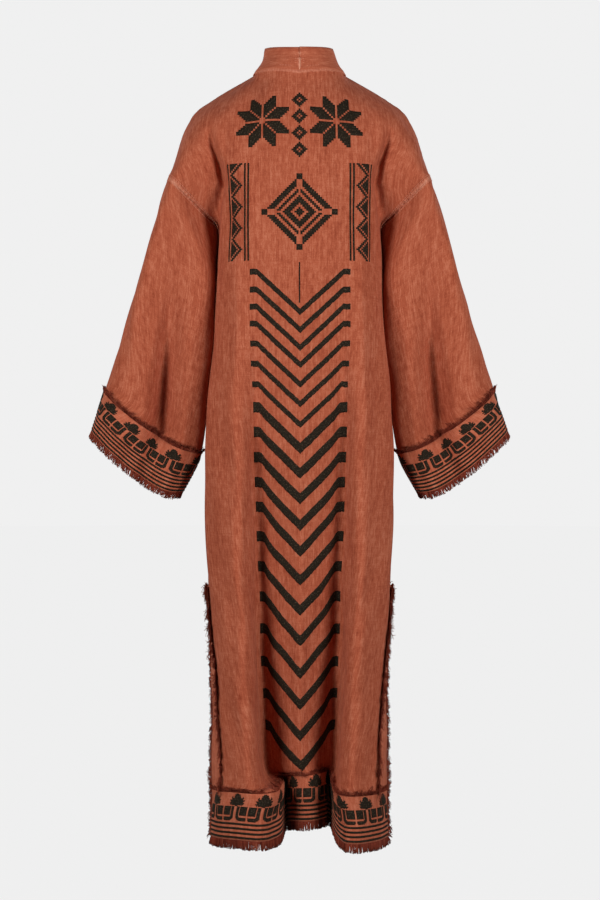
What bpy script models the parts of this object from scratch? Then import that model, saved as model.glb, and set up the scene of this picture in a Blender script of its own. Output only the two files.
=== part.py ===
"""Long open-fronted kaftan of washed linen, hollow and filled out as it is worn.

Metres, +Z up. The back faces +Y, the front -Y, and the wearer's left is +X.
The origin lies between the two side neck points, at the inner ends of the shoulder line.
"""

import math
from collections import namedtuple

import bmesh
import bpy
import numpy as np

# Cloth
WALL = 0.0015  # linen panels and the bands sewn on them
NECKBAND_WALL = 0.0022  # a strip folded double
SEAM = 0.0004  # clear space between pieces sewn edge to edge
LIFT = WALL + 0.0004  # outer face of a band that lies on a panel, above the panel's outer face

# Heights
UNDERARM = -0.254
SLIT_TOP = -0.874
HEM = -1.296
HEM_BAND = 0.080
CUFF_BAND_START = 0.84  # share of the sleeve's length above the cuff band

# Widths
NECK_HALF_WIDTH = 0.099
NECK_DEPTH = 0.068
BACK_NECK_RISE = 0.006  # how much higher the neckline is at the centre back than at the sides
NECKBAND = 0.0515
COLLAR_HALF_WIDTH = 0.065  # of its free edge, as are the next two
COLLAR_CENTRE_Y = 0.013
COLLAR_DEPTH = 0.047
COLLAR_DROP = 0.008  # how much lower its free edge is at the sides than at the back
COLLAR_HOLLOW = 0.006  # how far the standing collar curves in between its edges
COLLAR_END = 0.17  # drop below the shoulder where it has turned flat on the front
SLIT_SPREAD = 0.036
SLIT_SPREAD_DROP = 0.30  # drop below the slit's top where the spread is full
ARMHOLE_DEPTH = 0.078  # how far the armhole's seam bows to the back and to the front
UNDERARM_POINT = 2.7  # how sharply the armhole comes to a point below the arm

# Grid counts: cells across and along the panels
BACK_HALF_CELLS = 18
NECK_CELLS = 6
FRONT_CELLS = 11
ARMHOLE_CELLS = 10
BAND_CELLS = 2
SLIT_CELLS = 7
SIDE_CELLS = 12
SLEEVE_CELLS = 10
SMOOTHING_ROUNDS = 10  # for the upper rows, after they are laid out

# Fringe
FRAY_STRIP = 0.003
FRAY_LENGTH = 0.015  # at the hem and cuffs
TOP_FRAY_LENGTH = 0.008  # at the bands' upper edges and the slits
SLIT_FRAY_LEAN = (math.radians(35), math.radians(70))  # turn out from the cloth, at the hem and above
LOCK_SHARE = 0.72  # of each repeat that is lock, the rest is space
LOCK_TAPER = 0.55  # width of a lock's tip as a share of its root
LOCK_STRAY = 0.0016  # how far a lock's tip goes sideways
LOCK_UNEVEN = 0.0012  # how far locks differ from their length
TOP_FRAY_END = 0.003  # bare end of the back band's upper fringe, at each side

RUST = (0.42, 0.105, 0.050, 1)
RUST_PALE = (0.50, 0.150, 0.080, 1)
RUST_DARK = (0.26, 0.050, 0.028, 1)

# How far the back hem stands above its nominal height, from the wearer's right side to the left.
HEM_PLACES = [-1.0, -0.75, -0.45, -0.20, 0.0, 0.20, 0.45, 0.75, 1.0]
HEM_RISE = [-0.010, -0.014, -0.006, 0.014, 0.018, 0.014, 0.000, -0.003, -0.009]
HEM_RISE_START = -0.80  # height from which this comes in
HEM_SWING = -0.012  # sideways shift of the middle fold at the hem

# Tangents where the rows above the underarm leave it, and where they arrive at the neck and shoulder.
BACK_LEAVE = (0, 0.030, 0.27)
FRONT_LEAVE = (0.012, -0.020, 0.27)
Arrival = namedtuple("Arrival", "across tangent")
BACK_ARRIVE = [
    Arrival(0, (0, -0.08, 0.20)),
    Arrival(0.33, (0, -0.26, 0.10)),
    Arrival(0.62, (0, -0.30, 0.01)),
    Arrival(1, (0, -4 * ARMHOLE_DEPTH, 0)),
]
FRONT_ARRIVE = [
    Arrival(0, (0.035, 0.24, 0.10)),
    Arrival(0.40, (0, 0.29, 0.03)),
    Arrival(1, (0, 4 * ARMHOLE_DEPTH, 0)),
]

# The tables below are in millimetres.
MM = 0.001

# One row for each level of the back: its (x, y) points lie between the centre line and the side seam.
BackLevel = namedtuple("BackLevel", "height centre_y ridge valley crest lobe outer side_x")
BACK_LEVELS = [
    BackLevel(-1296, 34, (27, 33), (50, 25), (44, 80), (84, 113), (130, 80), 152),
    BackLevel(-1180, 52, (28, 51), (54, 34), (57, 88), (96, 111), (132, 75), 149),
    BackLevel(-1050, 70, (29, 69), (57, 46), (71, 93), (105, 107), (135, 70), 149),
    BackLevel(-874, 88, (29, 88), (60, 68), (83, 96), (115, 98), (152, 58), 164),
    BackLevel(-620, 103, (29, 104), (62, 92), (90, 101), (121, 91), (161, 47), 165),
    BackLevel(-420, 105, (30, 105), (61, 100), (87, 97), (115, 85), (148, 45), 149),
    BackLevel(-254, 108, (30, 107), (60, 104), (88, 98), (113, 85), (139, 50), 147),
]

# The same for one front, from the seam that joins it to the neckband out to the side seam.
FrontLevel = namedtuple("FrontLevel", "height seam valley crest outer side_x")
FRONT_LEVELS = [
    FrontLevel(-1296, (62, -103), (84, -86), (114, -112), (135, -76), 152),
    FrontLevel(-1180, (60, -106), (83, -91), (112, -110), (135, -71), 149),
    FrontLevel(-1050, (58, -108), (81, -96), (110, -107), (137, -65), 149),
    FrontLevel(-874, (56, -110), (81, -102), (112, -101), (149, -57), 164),
    FrontLevel(-620, (55, -112), (85, -107), (115, -94), (147, -52), 165),
    FrontLevel(-420, (55, -116), (84, -109), (109, -90), (130, -50), 149),
    FrontLevel(-254, (60, -117), (88, -107), (111, -87), (133, -50), 147),
]

# The top silhouette from the side neck point to the dropped shoulder seam, as (x, z).
SHOULDER_LINE = [(99, 0), (134, -20), (167, -40), (190, -61), (203, -90), (214, -127), (227, -171)]

# The fold between torso and arm: its line from the underarm up, and how deep it is.
CreasePlace = namedtuple("CreasePlace", "height x depth")
CREASE = [
    CreasePlace(-254, 143, 0),
    CreasePlace(-220, 142, 22),
    CreasePlace(-178, 142, 34),
    CreasePlace(-130, 151, 24),
    CreasePlace(-90, 158, 8),
    CreasePlace(-60, 160, 0),
]
CREASE_STEEP = 0.013  # its reach towards the torso
CREASE_GENTLE = 0.024  # its reach towards the arm

# One row for each ring of the sleeve. Outer and inner are its two edges as seen from behind, as (x, z).
SleeveRing = namedtuple("SleeveRing", "share outer inner back_depth front_depth centre_y tilt")
SLEEVE_RINGS = [
    SleeveRing(0.00, (227, -171), (147, -254), 78, 78, 0, 0),
    SleeveRing(0.22, (259, -273), (146, -352), 80, 76, -16, -4),
    SleeveRing(0.45, (291, -380), (152, -455), 74, 73, -26, -8),
    SleeveRing(0.66, (319, -470), (163, -552), 66, 67, -32, -14),
    SleeveRing(0.84, (342, -537), (171, -645), 56, 60, -35, -20),
    SleeveRing(1.00, (364, -604), (204, -711), 56, 58, -38, -24),
]


def ramp(value, start, end):
    """0 before start, 1 after end, and smooth between them."""
    share = np.clip((np.asarray(value, float) - start) / (end - start), 0, 1)
    return share * share * (3 - 2 * share)


def unit(vectors):
    return vectors / np.maximum(np.linalg.norm(vectors, axis=-1, keepdims=True), 1e-12)


def hermite(start, leave, end, arrive, share):
    """Cubic curve between two points with given tangents."""
    t = np.asarray(share, float)[..., None]
    return (
        (2 * t**3 - 3 * t**2 + 1) * start
        + (t**3 - 2 * t**2 + t) * leave
        + (3 * t**2 - 2 * t**3) * end
        + (t**3 - t**2) * arrive
    )


def spline(keys, values, at):
    """Smooth curve through values at rising keys, read at the places in at."""
    keys = np.asarray(keys, float)
    values = np.asarray(values, float).reshape(len(keys), -1)
    slopes = np.gradient(values, keys, axis=0)
    at = np.clip(np.atleast_1d(np.asarray(at, float)), keys[0], keys[-1])
    i = np.clip(np.searchsorted(keys, at, side="right") - 1, 0, len(keys) - 2)
    span = keys[i + 1] - keys[i]
    share = (at - keys[i]) / span
    return hermite(values[i], slopes[i] * span[:, None], values[i + 1], slopes[i + 1] * span[:, None], share)


def spaced(points, shares):
    """Points at these shares of a polyline's length."""
    steps = np.linalg.norm(np.diff(points, axis=0), axis=1)
    length = np.concatenate([[0], np.cumsum(steps)])
    return np.stack([np.interp(np.asarray(shares) * length[-1], length, c) for c in points.T], axis=-1)


def slit_y(height):
    """How far each side edge stands from the middle plane, once the side slit has opened."""
    return SLIT_SPREAD * min(1.0, max(0.0, SLIT_TOP - height) / SLIT_SPREAD_DROP) ** 0.8


def column(table, name):
    """One column of a table, in metres."""
    return np.array([getattr(row, name) for row in table]) * MM


def level_points(levels, height, columns):
    """The named points of a table's columns, read at one height, as rows of (x, y)."""
    heights = column(levels, "height")
    return [spline(heights, column(levels, name), height)[0] for name in columns]


def back_level(height):
    """The back's outline at one height, from the wearer's right side seam to the left one."""
    centre_y, side_x = (v[0] for v in level_points(BACK_LEVELS, height, ["centre_y", "side_x"]))
    half = level_points(BACK_LEVELS, height, ["ridge", "valley", "crest", "lobe", "outer"])
    half.append(np.array([side_x, slit_y(height)]))
    swing = HEM_SWING * ramp(-height, -SLIT_TOP, -HEM)
    inner = [swing, swing, swing, 0.5 * swing, 0, 0]
    left = [p + [s, 0] for p, s in zip(half, inner)]
    right = [p * [-1, 1] + [s, 0] for p, s in zip(half, inner)]
    points = np.array([*reversed(right), [swing, centre_y], *left])
    fine = spline(range(len(points)), points, np.linspace(0, len(points) - 1, 481))
    middle = len(fine) // 2
    shares = np.linspace(0, 1, BACK_HALF_CELLS + 1)
    return np.concatenate([spaced(fine[: middle + 1], shares), spaced(fine[middle:], shares)[1:]])


def front_level(height):
    """The left front's outline at one height, from the neckband seam to the side seam."""
    points = level_points(FRONT_LEVELS, height, ["seam", "valley", "crest", "outer"])
    side_x = level_points(FRONT_LEVELS, height, ["side_x"])[0][0]
    points.append(np.array([side_x, -slit_y(height)]))
    fine = spline(range(len(points)), points, np.linspace(0, len(points) - 1, 321))
    return spaced(fine, np.linspace(0, 1, FRONT_CELLS + 1))


def lower_heights():
    """Heights of the rows from the hem to the underarm, with rows at the band's top and the slit's top."""
    band_top = HEM + HEM_BAND
    return np.concatenate([
        np.linspace(HEM, band_top, BAND_CELLS + 1),
        np.linspace(band_top, SLIT_TOP, SLIT_CELLS + 1)[1:],
        np.linspace(SLIT_TOP, UNDERARM, SIDE_CELLS + 1)[1:],
    ])


def back_neckline(share):
    """The neckline from the centre back to the left side neck point."""
    turn = np.asarray(share, float) * math.pi / 2
    return np.stack([
        NECK_HALF_WIDTH * np.sin(turn),
        0.004 + NECK_DEPTH * np.cos(turn),
        BACK_NECK_RISE * np.cos(turn),
    ], axis=-1)


def shoulder_line(share):
    """The left shoulder line from the side neck point to the dropped seam."""
    line = np.array([(x, 0, z) for x, z in SHOULDER_LINE]) * MM
    fine = spline(range(len(line)), line, np.linspace(0, len(line) - 1, 241))
    points = spaced(fine, share)
    points[:, 1] = 0.004 * (1 - np.asarray(share))
    return points


def armhole_crease(points, across):
    """Depth of the fold where the torso's edge overhangs the arm, at points of the left half."""
    height = points[:, 2]
    line = np.interp(height, column(CREASE, "height"), column(CREASE, "x"))
    depth = np.interp(height, column(CREASE, "height"), column(CREASE, "depth"))
    away = np.abs(points[:, 0]) - line
    width = np.where(away < 0, CREASE_STEEP, CREASE_GENTLE)
    return depth * np.exp(-((away / width) ** 2)) * (1 - ramp(across, 0.86, 1.0))


def armhole_tangents(outer, inner, depth, point, roundness=0.0):
    """Tangents of a sleeve ring's curve, from its inner edge to its outer one. A high point value
    makes the inner edge a sharper fold."""
    along = outer - inner
    return along * point + [0, 4 * depth, 0], along * roundness - [0, 4 * depth, 0]


def upper_rows(bottom, top, leave, arrive, across, side):
    """Rows between the underarm row and the shoulder. side is 1 for the back and -1 for the front."""
    ups = np.linspace(0, 1, ARMHOLE_CELLS + 1)
    patch = np.array([hermite(bottom, leave, top, arrive, np.full(len(bottom), up)) for up in ups])
    for _ in range(SMOOTHING_ROUNDS):
        inner = patch[1:-1, 1:-1]
        across_mean = (patch[1:-1, :-2] + patch[1:-1, 2:]) / 2
        up_mean = (patch[:-2, 1:-1] + patch[2:, 1:-1]) / 2
        patch[1:-1, 1:-1] = 0.5 * inner + 0.35 * across_mean + 0.15 * up_mean
    for up, row in zip(ups, patch):
        row[:, 1] -= side * armhole_crease(row, across) * (1 - ramp(up, 0.70, 1.0))
    return list(patch[1:])


def back_grid():
    """Points of the back panel, rows from the hem up, columns from the wearer's right to the left."""
    across = np.linspace(-1, 1, 2 * BACK_HALF_CELLS + 1)
    rise = spline(HEM_PLACES, HEM_RISE, across)[:, 0]
    rows = []
    for height in lower_heights():
        outline = back_level(height)
        z = height + rise * ramp(-height, -HEM_RISE_START, -HEM)
        rows.append(np.column_stack([outline, z]))
    neck = back_neckline(np.linspace(0, 1, NECK_CELLS + 1))
    shoulder = shoulder_line(np.linspace(0, 1, BACK_HALF_CELLS - NECK_CELLS + 1))
    left = np.concatenate([neck, shoulder[1:]])
    top = np.concatenate([left[:0:-1] * [-1, 1, 1], left])
    away = np.abs(across)
    turn = ramp(away, 0.80, 1.0)[:, None]
    corner = armhole_tangents(top[-1], rows[-1][-1], ARMHOLE_DEPTH, UNDERARM_POINT)[0]
    leave = (1 - turn) * BACK_LEAVE + turn * corner * np.sign(across)[:, None] ** [1, 0, 0]
    arrive = spline(*zip(*BACK_ARRIVE), away)
    return np.array(rows + upper_rows(rows[-1], top, leave, arrive, away, 1))


def front_grid():
    """Points of the left front, rows from the hem up, columns from the neckband seam to the side."""
    across = np.linspace(0, 1, FRONT_CELLS + 1)
    rows = [np.column_stack([front_level(h), np.full(FRONT_CELLS + 1, h)]) for h in lower_heights()]
    top = shoulder_line(across)
    turn = ramp(across, 0.75, 1.0)[:, None]
    corner = armhole_tangents(top[-1], rows[-1][-1], -ARMHOLE_DEPTH, UNDERARM_POINT)[0]
    leave = (1 - turn) * FRONT_LEAVE + turn * corner
    arrive = spline(*zip(*FRONT_ARRIVE), across)
    return np.array(rows + upper_rows(rows[-1], top, leave, arrive, across, -1))


def sleeve_ring(row):
    """One ring of the left sleeve: up the back from the inner edge, then down the front."""
    share, outer, inner, back_depth, front_depth, centre_y, tilt = row
    outer = np.array([outer[0], centre_y, outer[1]])
    inner = np.array([inner[0], centre_y, inner[1]])
    places = np.linspace(0, 1, ARMHOLE_CELLS + 1)
    point = UNDERARM_POINT - 1.8 * share
    droop = np.array([0, 0, 6 * tilt])
    leave, arrive = armhole_tangents(outer, inner, back_depth, point)
    up_the_back = hermite(inner, leave + droop, outer, arrive, places)
    leave, arrive = armhole_tangents(outer, inner, -front_depth, point)
    down_the_front = hermite(inner, leave + droop / 2, outer, arrive, places)[::-1]
    return np.concatenate([up_the_back, down_the_front[1:-1]])


def sleeve_fold(share, place):
    """Depth of the soft troughs that run down the sleeve. place is 0 at the inner edge, 1 at the outer."""
    deep = 0.016 * ramp(share, 0.25, 0.62) * np.exp(-(((place - 0.40) / 0.10) ** 2))
    return deep - 0.006 * ramp(share, 0.30, 0.80) * np.exp(-(((place - 0.66) / 0.13) ** 2))


def sleeve_grid():
    """Points of the left sleeve, rings from the shoulder seam down to the cuff's edge."""
    keys = [ring.share for ring in SLEEVE_RINGS]
    names = SleeveRing._fields[1:]
    wide = np.linspace(0, CUFF_BAND_START, SLEEVE_CELLS - BAND_CELLS + 1)
    shares = np.concatenate([wide, np.linspace(CUFF_BAND_START, 1, BAND_CELLS + 1)[1:]])
    places = np.linspace(0, 1, ARMHOLE_CELLS + 1)
    rings = []
    for share in shares:
        outer, inner, *values = [spline(keys, column(SLEEVE_RINGS, name), share)[0] for name in names]
        ring = sleeve_ring([share, outer, inner, *(value[0] for value in values)])
        ring[: ARMHOLE_CELLS + 1, 1] -= sleeve_fold(share, places)
        rings.append(ring)
    return np.array(rings)


def neckband_grid(front):
    """Points of the left neckband, from the centre back down to the hem: seam, middle and free edge."""
    neck = back_neckline(np.linspace(0, 1, NECK_CELLS + 1))
    seam = np.concatenate([neck, front[::-1, 0][1:]])
    turn = np.linspace(0, 1, NECK_CELLS + 1) * math.pi / 2
    free = np.empty_like(seam)
    free[: NECK_CELLS + 1] = np.column_stack([
        COLLAR_HALF_WIDTH * np.sin(turn),
        COLLAR_CENTRE_Y + COLLAR_DEPTH * np.cos(turn),
        NECKBAND - COLLAR_DROP * np.sin(turn) ** 2,
    ])
    at_side = free[NECK_CELLS] - neck[-1]
    for i in range(NECK_CELLS + 1, len(seam)):
        drop = -seam[i, 2]
        down = ramp(drop, 0.0, COLLAR_END)
        flat = np.array([-NECKBAND, -0.003, 0.010 * (1 - ramp(drop, COLLAR_END, 2 * COLLAR_END))])
        lean = (1 - down) * at_side + down * flat
        free[i] = seam[i] + unit(lean) * NECKBAND
    middle = (seam + free) / 2
    standing = 1 - ramp(-seam[:, 2:], 0.05, 0.25)
    middle -= unit(middle * [1, 1, 0]) * COLLAR_HOLLOW * standing
    return np.stack([seam, middle, free], axis=1)


def grid_normals(grid, side, closed=False):
    """Unit normals of a grid of points. side turns them outwards."""
    along = np.gradient(grid, axis=0)
    if closed:
        across = (np.roll(grid, -1, axis=1) - np.roll(grid, 1, axis=1)) / 2
    else:
        across = np.gradient(grid, axis=1)
    return side * unit(np.cross(across, along))


def level_normals(normals):
    """Normals at a seam between front and back, which both pieces share."""
    return unit(normals * [1, 0, 1])


def drawn_in(edge, neighbour, distance=SEAM / 2):
    """An edge moved towards its neighbouring points, which leaves the clear space of a seam."""
    return edge + unit(neighbour - edge) * distance


def add_solid(name, points, faces, colour):
    """One object with its own material, from points and faces, with its faces turned outwards."""
    mesh = bpy.data.meshes.new(name)
    mesh.from_pydata([tuple(p) for p in points], [], faces)
    shape = bmesh.new()
    shape.from_mesh(mesh)
    bmesh.ops.remove_doubles(shape, verts=shape.verts, dist=1e-6)
    bmesh.ops.delete(shape, geom=[v for v in shape.verts if not v.link_faces], context="VERTS")
    bmesh.ops.recalc_face_normals(shape, faces=shape.faces)
    shape.to_mesh(mesh)
    shape.free()
    mesh.shade_smooth()
    mesh.set_sharp_from_angle(angle=math.radians(60))
    material = bpy.data.materials.new(name)
    material.use_nodes = True
    shader = material.node_tree.nodes["Principled BSDF"]
    shader.inputs["Base Color"].default_value = colour
    shader.inputs["Roughness"].default_value = 0.9
    shader.inputs["Metallic"].default_value = 0
    mesh.materials.append(material)
    piece = bpy.data.objects.new(name, mesh)
    bpy.context.scene.collection.objects.link(piece)
    return piece


def wall(name, outer, normals, thickness, colour=RUST, closed=False, keep=None, mirror_columns=0):
    """A cloth wall: an outer grid, the same grid moved inwards, and a rim round the kept cells. Cells in
    the first mirror_columns columns are split along their other diagonal, as on the other side."""
    rows, columns = outer.shape[:2]
    count = rows * columns
    points = np.concatenate([outer.reshape(-1, 3), (outer - normals * thickness).reshape(-1, 3)])
    faces = []
    rim = {}
    for i in range(rows - 1):
        for j in range(columns if closed else columns - 1):
            if keep is not None and not keep[i][j]:
                continue
            k = (j + 1) % columns
            a, b, c, d = i * columns + j, i * columns + k, (i + 1) * columns + k, (i + 1) * columns + j
            halves = [(a, b, c), (a, c, d)] if j < mirror_columns else [(b, c, d), (b, d, a)]
            faces += halves + [tuple(count + v for v in reversed(half)) for half in halves]
            for edge in ((a, b), (b, c), (c, d), (d, a)):
                if edge[::-1] in rim:
                    del rim[edge[::-1]]
                else:
                    rim[edge] = True
    for a, b in rim:
        # The shorter diagonal, so that the rims of two pieces at a seam are split alike
        if math.dist(points[b], points[count + a]) < math.dist(points[a], points[count + b]):
            faces += [(b, a, count + a), (b, count + a, count + b)]
        else:
            faces += [(b, a, count + b), (a, count + a, count + b)]
    return add_solid(name, points, faces, colour)


def fringe(name, edge, direction, normals, length, locks_per_cell=1, closed=False, flare=0.0):
    """A row of four-sided locks fused to a narrow strip that lies just off a cloth edge."""
    cells = len(edge) if closed else len(edge) - 1
    stops = [0.0]
    for k in range(locks_per_cell):
        stops += [(k + LOCK_SHARE) / locks_per_cell, (k + 1) / locks_per_cell]
    lines = []
    for values in (edge, direction, normals):
        after = np.roll(values, -1, axis=0)
        line = [values[i] * (1 - s) + after[i] * s for i in range(cells) for s in stops[:-1]]
        lines.append(np.array(line if closed else [*line, values[-1]]))
    root, down, out = lines[0], unit(lines[1]), unit(lines[2])
    top = root + down * SEAM + out * flare * SEAM
    bottom = top + (down + out * flare) * FRAY_STRIP
    tips = bottom.copy()
    thickness = np.full((3, len(root), 1), WALL)
    for lock in range(cells * locks_per_cell):
        j, k = 2 * lock, (2 * lock + 1) % len(root)
        stray = LOCK_STRAY * math.sin(2.3 * lock + 1)
        reach = length - FRAY_STRIP + LOCK_UNEVEN * math.sin(1.7 * lock)
        sideways = unit(root[k] - root[j])
        middle = (bottom[j] + bottom[k]) / 2 + down[j] * reach + sideways * stray
        end = middle + out[j] * (flare * length - WALL / 2)
        half = (bottom[k] - bottom[j]) * LOCK_TAPER / 2
        tips[j], tips[k] = end - half, end + half
        thickness[2, [j, k]] = 0
    columns = len(root) if closed else len(root) - 1
    keep = [[True] * columns, [j % 2 == 0 for j in range(columns)]]
    grid = np.array([top, bottom, tips])
    three = np.array([out, out, out]) * thickness
    wall(name, grid, three, 1.0, RUST_DARK, closed, keep)


def mirrored(points):
    return points * [-1, 1, 1]


def pair(make, name, *grids, **settings):
    """A piece on the wearer's left, and its mirror image on the right."""
    make(name + "_left", *grids, **settings)
    make(name + "_right", *(mirrored(g) for g in grids), **settings)


def seam_edges(grid, normals, front):
    """Draws in the edges of a panel where it is sewn to its neighbours, and levels its seam normals."""
    first_open = BAND_CELLS + SLIT_CELLS
    grid[-1] = drawn_in(grid[-1], grid[-2])
    grid[first_open:, -1] = drawn_in(grid[first_open:, -1], grid[first_open:, -2])
    grid[:, 0] = drawn_in(grid[:, 0], grid[:, 1])
    shoulder = slice(0, None) if front else slice(BACK_HALF_CELLS + NECK_CELLS, None)
    normals[-1, shoulder] = level_normals(normals[-1, shoulder])
    seam_end = first_open + SIDE_CELLS + 1
    normals[first_open:seam_end, -1] = level_normals(normals[first_open:seam_end, -1])
    if not front:
        normals[-1, : BACK_HALF_CELLS - NECK_CELLS + 1] = level_normals(
            normals[-1, : BACK_HALF_CELLS - NECK_CELLS + 1])
        normals[first_open:seam_end, 0] = level_normals(normals[first_open:seam_end, 0])


def share_armhole_normals(panel_normals, sleeve_normals, underarm, front):
    """Gives the panel's armhole edge and the sleeve's first ring the same normals."""
    for k in range(1, ARMHOLE_CELLS + 1):
        place = (-k) % (2 * ARMHOLE_CELLS) if front else k
        both = unit(panel_normals[underarm + k, -1] + sleeve_normals[0, place])
        panel_normals[underarm + k, -1] = both
        sleeve_normals[0, place] = both


def share_neck_normals(back_normals, strip_normals):
    """Gives the back's neckline and the neckband's seamed edge the same normals, on both sides."""
    for k in range(NECK_CELLS + 1):
        both = back_normals[-1, BACK_HALF_CELLS + k] + strip_normals[k, 0]
        if k == NECK_CELLS:
            both = level_normals(both)
        strip_normals[k, 0] = back_normals[-1, BACK_HALF_CELLS + k] = unit(both)
        back_normals[-1, BACK_HALF_CELLS - k] = mirrored(unit(both))


def build():
    for leftover in list(bpy.data.objects):
        bpy.data.objects.remove(leftover)

    back, front, sleeve = back_grid(), front_grid(), sleeve_grid()
    strip = neckband_grid(front)
    back_normals = grid_normals(back, -1)
    front_normals = grid_normals(front, 1)
    sleeve_normals = grid_normals(sleeve, 1, closed=True)
    underarm = BAND_CELLS + SLIT_CELLS + SIDE_CELLS
    share_armhole_normals(back_normals, sleeve_normals, underarm, front=False)
    share_armhole_normals(front_normals, sleeve_normals, underarm, front=True)
    back_normals[underarm:, 0] = mirrored(back_normals[underarm:, -1])
    seam_edges(back, back_normals, front=False)
    seam_edges(front, front_normals, front=True)
    sleeve[0] = drawn_in(sleeve[0], sleeve[1], SEAM)

    # Panels and sleeves
    strip[:, 0] = drawn_in(strip[:, 0], strip[:, 1], SEAM)
    strip[0, :, 0] = SEAM / 2
    strip_normals = grid_normals(strip, 1)
    strip_normals[0] = unit(strip_normals[0] * [0, 1, 1])
    front_normals[:-1, 0] = strip_normals[:NECK_CELLS:-1, 0]
    share_neck_normals(back_normals, strip_normals)
    wall("back_panel", back, back_normals, WALL, mirror_columns=BACK_HALF_CELLS)
    pair(wall, "front_panel", front, front_normals, thickness=WALL)
    pair(wall, "sleeve", sleeve, sleeve_normals, thickness=WALL, closed=True)

    # Neckband: stands at the back of the neck and runs down both front edges
    pair(wall, "neckband", strip, strip_normals, thickness=NECKBAND_WALL, colour=RUST_PALE)

    # Bands sewn on the hem, the cuffs and the slit edges
    hem_rows = slice(0, BAND_CELLS + 1)
    slit_rows = slice(BAND_CELLS, BAND_CELLS + SLIT_CELLS + 1)
    back_out = back + back_normals * LIFT
    front_out = front + front_normals * LIFT
    sleeve_out = sleeve + sleeve_normals * LIFT
    wall("hem_band_back", back_out[hem_rows], back_normals[hem_rows], WALL, RUST_PALE,
         mirror_columns=BACK_HALF_CELLS)
    pair(wall, "hem_band_front", front_out[hem_rows], front_normals[hem_rows], thickness=WALL,
         colour=RUST_PALE)
    cuff_rows = slice(SLEEVE_CELLS - BAND_CELLS, None)
    pair(wall, "cuff_band", sleeve_out[cuff_rows], sleeve_normals[cuff_rows], thickness=WALL,
         colour=RUST_PALE, closed=True)
    slits = [
        ("back_left", back, back_out, back_normals, [-3, -2, -1]),
        ("back_right", back, back_out, back_normals, [2, 1, 0]),
        ("front_left", front, front_out, front_normals, [-2, -1]),
        ("front_right", mirrored(front), mirrored(front_out), mirrored(front_normals), [-2, -1]),
    ]
    for name, _, outer, normals, columns in slits:
        points = outer[slit_rows][:, columns]
        points[0] = drawn_in(points[0], points[1], SEAM)
        wall("slit_band_" + name, points, normals[slit_rows][:, columns], WALL, RUST_PALE)

    # Frayed lower edges
    fringe("hem_fringe_back", back_out[0], back[0] - back[1], back_normals[0], FRAY_LENGTH)
    pair(fringe, "hem_fringe_front", front_out[0], front[0] - front[1], front_normals[0], length=FRAY_LENGTH)
    pair(fringe, "cuff_fringe", sleeve_out[-1], sleeve[-1] - sleeve[-2], sleeve_normals[-1],
         length=FRAY_LENGTH, closed=True)

    # Frayed upper edges of the hem and cuff bands, which stand a little off the cloth
    top = BAND_CELLS
    across = slice(0, -1)
    top_edge = back_out[top, 2:-2].copy()
    top_edge[[0, -1]] = drawn_in(top_edge[[0, -1]], top_edge[[1, -2]], TOP_FRAY_END)
    fringe("hem_top_fringe_back", top_edge, (back[top + 1] - back[top])[2:-2],
           back_normals[top, 2:-2], TOP_FRAY_LENGTH, flare=0.3)
    pair(fringe, "hem_top_fringe_front", front_out[top, across], (front[top + 1] - front[top])[across],
         front_normals[top, across], length=TOP_FRAY_LENGTH, flare=0.5)
    cuff_top = SLEEVE_CELLS - BAND_CELLS
    pair(fringe, "cuff_top_fringe", sleeve_out[cuff_top], sleeve[cuff_top - 1] - sleeve[cuff_top],
         sleeve_normals[cuff_top], length=TOP_FRAY_LENGTH, closed=True, flare=0.5)

    # Frayed slit edges
    edge_rows = slice(0, BAND_CELLS + SLIT_CELLS)
    lean = np.linspace(*SLIT_FRAY_LEAN, BAND_CELLS + SLIT_CELLS)[:, None]
    cos_lean, sin_lean = np.cos(lean), np.sin(lean)
    for name, grid, outer, normals, (*_, inside, edge) in slits:
        away = unit((grid[:, edge] - grid[:, inside])[edge_rows])
        outward = normals[edge_rows, edge]
        fringe("slit_fringe_" + name, outer[edge_rows, edge], away * cos_lean + outward * sin_lean,
               outward * cos_lean - away * sin_lean, TOP_FRAY_LENGTH, 2 if "back" in name else 1)


build()
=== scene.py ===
import math
import random

import bpy
import numpy as np
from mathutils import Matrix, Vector
from mathutils.bvhtree import BVHTree
from mathutils.geometry import barycentric_transform


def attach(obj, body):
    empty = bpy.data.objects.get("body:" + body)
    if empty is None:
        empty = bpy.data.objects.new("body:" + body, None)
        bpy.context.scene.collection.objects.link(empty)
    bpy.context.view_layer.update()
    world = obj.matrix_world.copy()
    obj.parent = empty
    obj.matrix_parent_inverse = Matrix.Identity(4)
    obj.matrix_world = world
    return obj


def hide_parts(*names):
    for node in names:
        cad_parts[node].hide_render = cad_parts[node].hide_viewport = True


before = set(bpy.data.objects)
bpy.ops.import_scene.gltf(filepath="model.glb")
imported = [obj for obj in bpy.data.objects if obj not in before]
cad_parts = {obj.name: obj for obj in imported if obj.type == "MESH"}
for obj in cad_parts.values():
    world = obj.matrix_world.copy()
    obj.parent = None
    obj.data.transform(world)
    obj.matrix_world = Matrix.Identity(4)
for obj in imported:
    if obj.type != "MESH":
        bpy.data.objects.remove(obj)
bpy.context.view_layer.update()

mm = 0.001
mirror = np.array([-1, 1, 1])
sides = {"Left": 1, "Right": -1}

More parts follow.
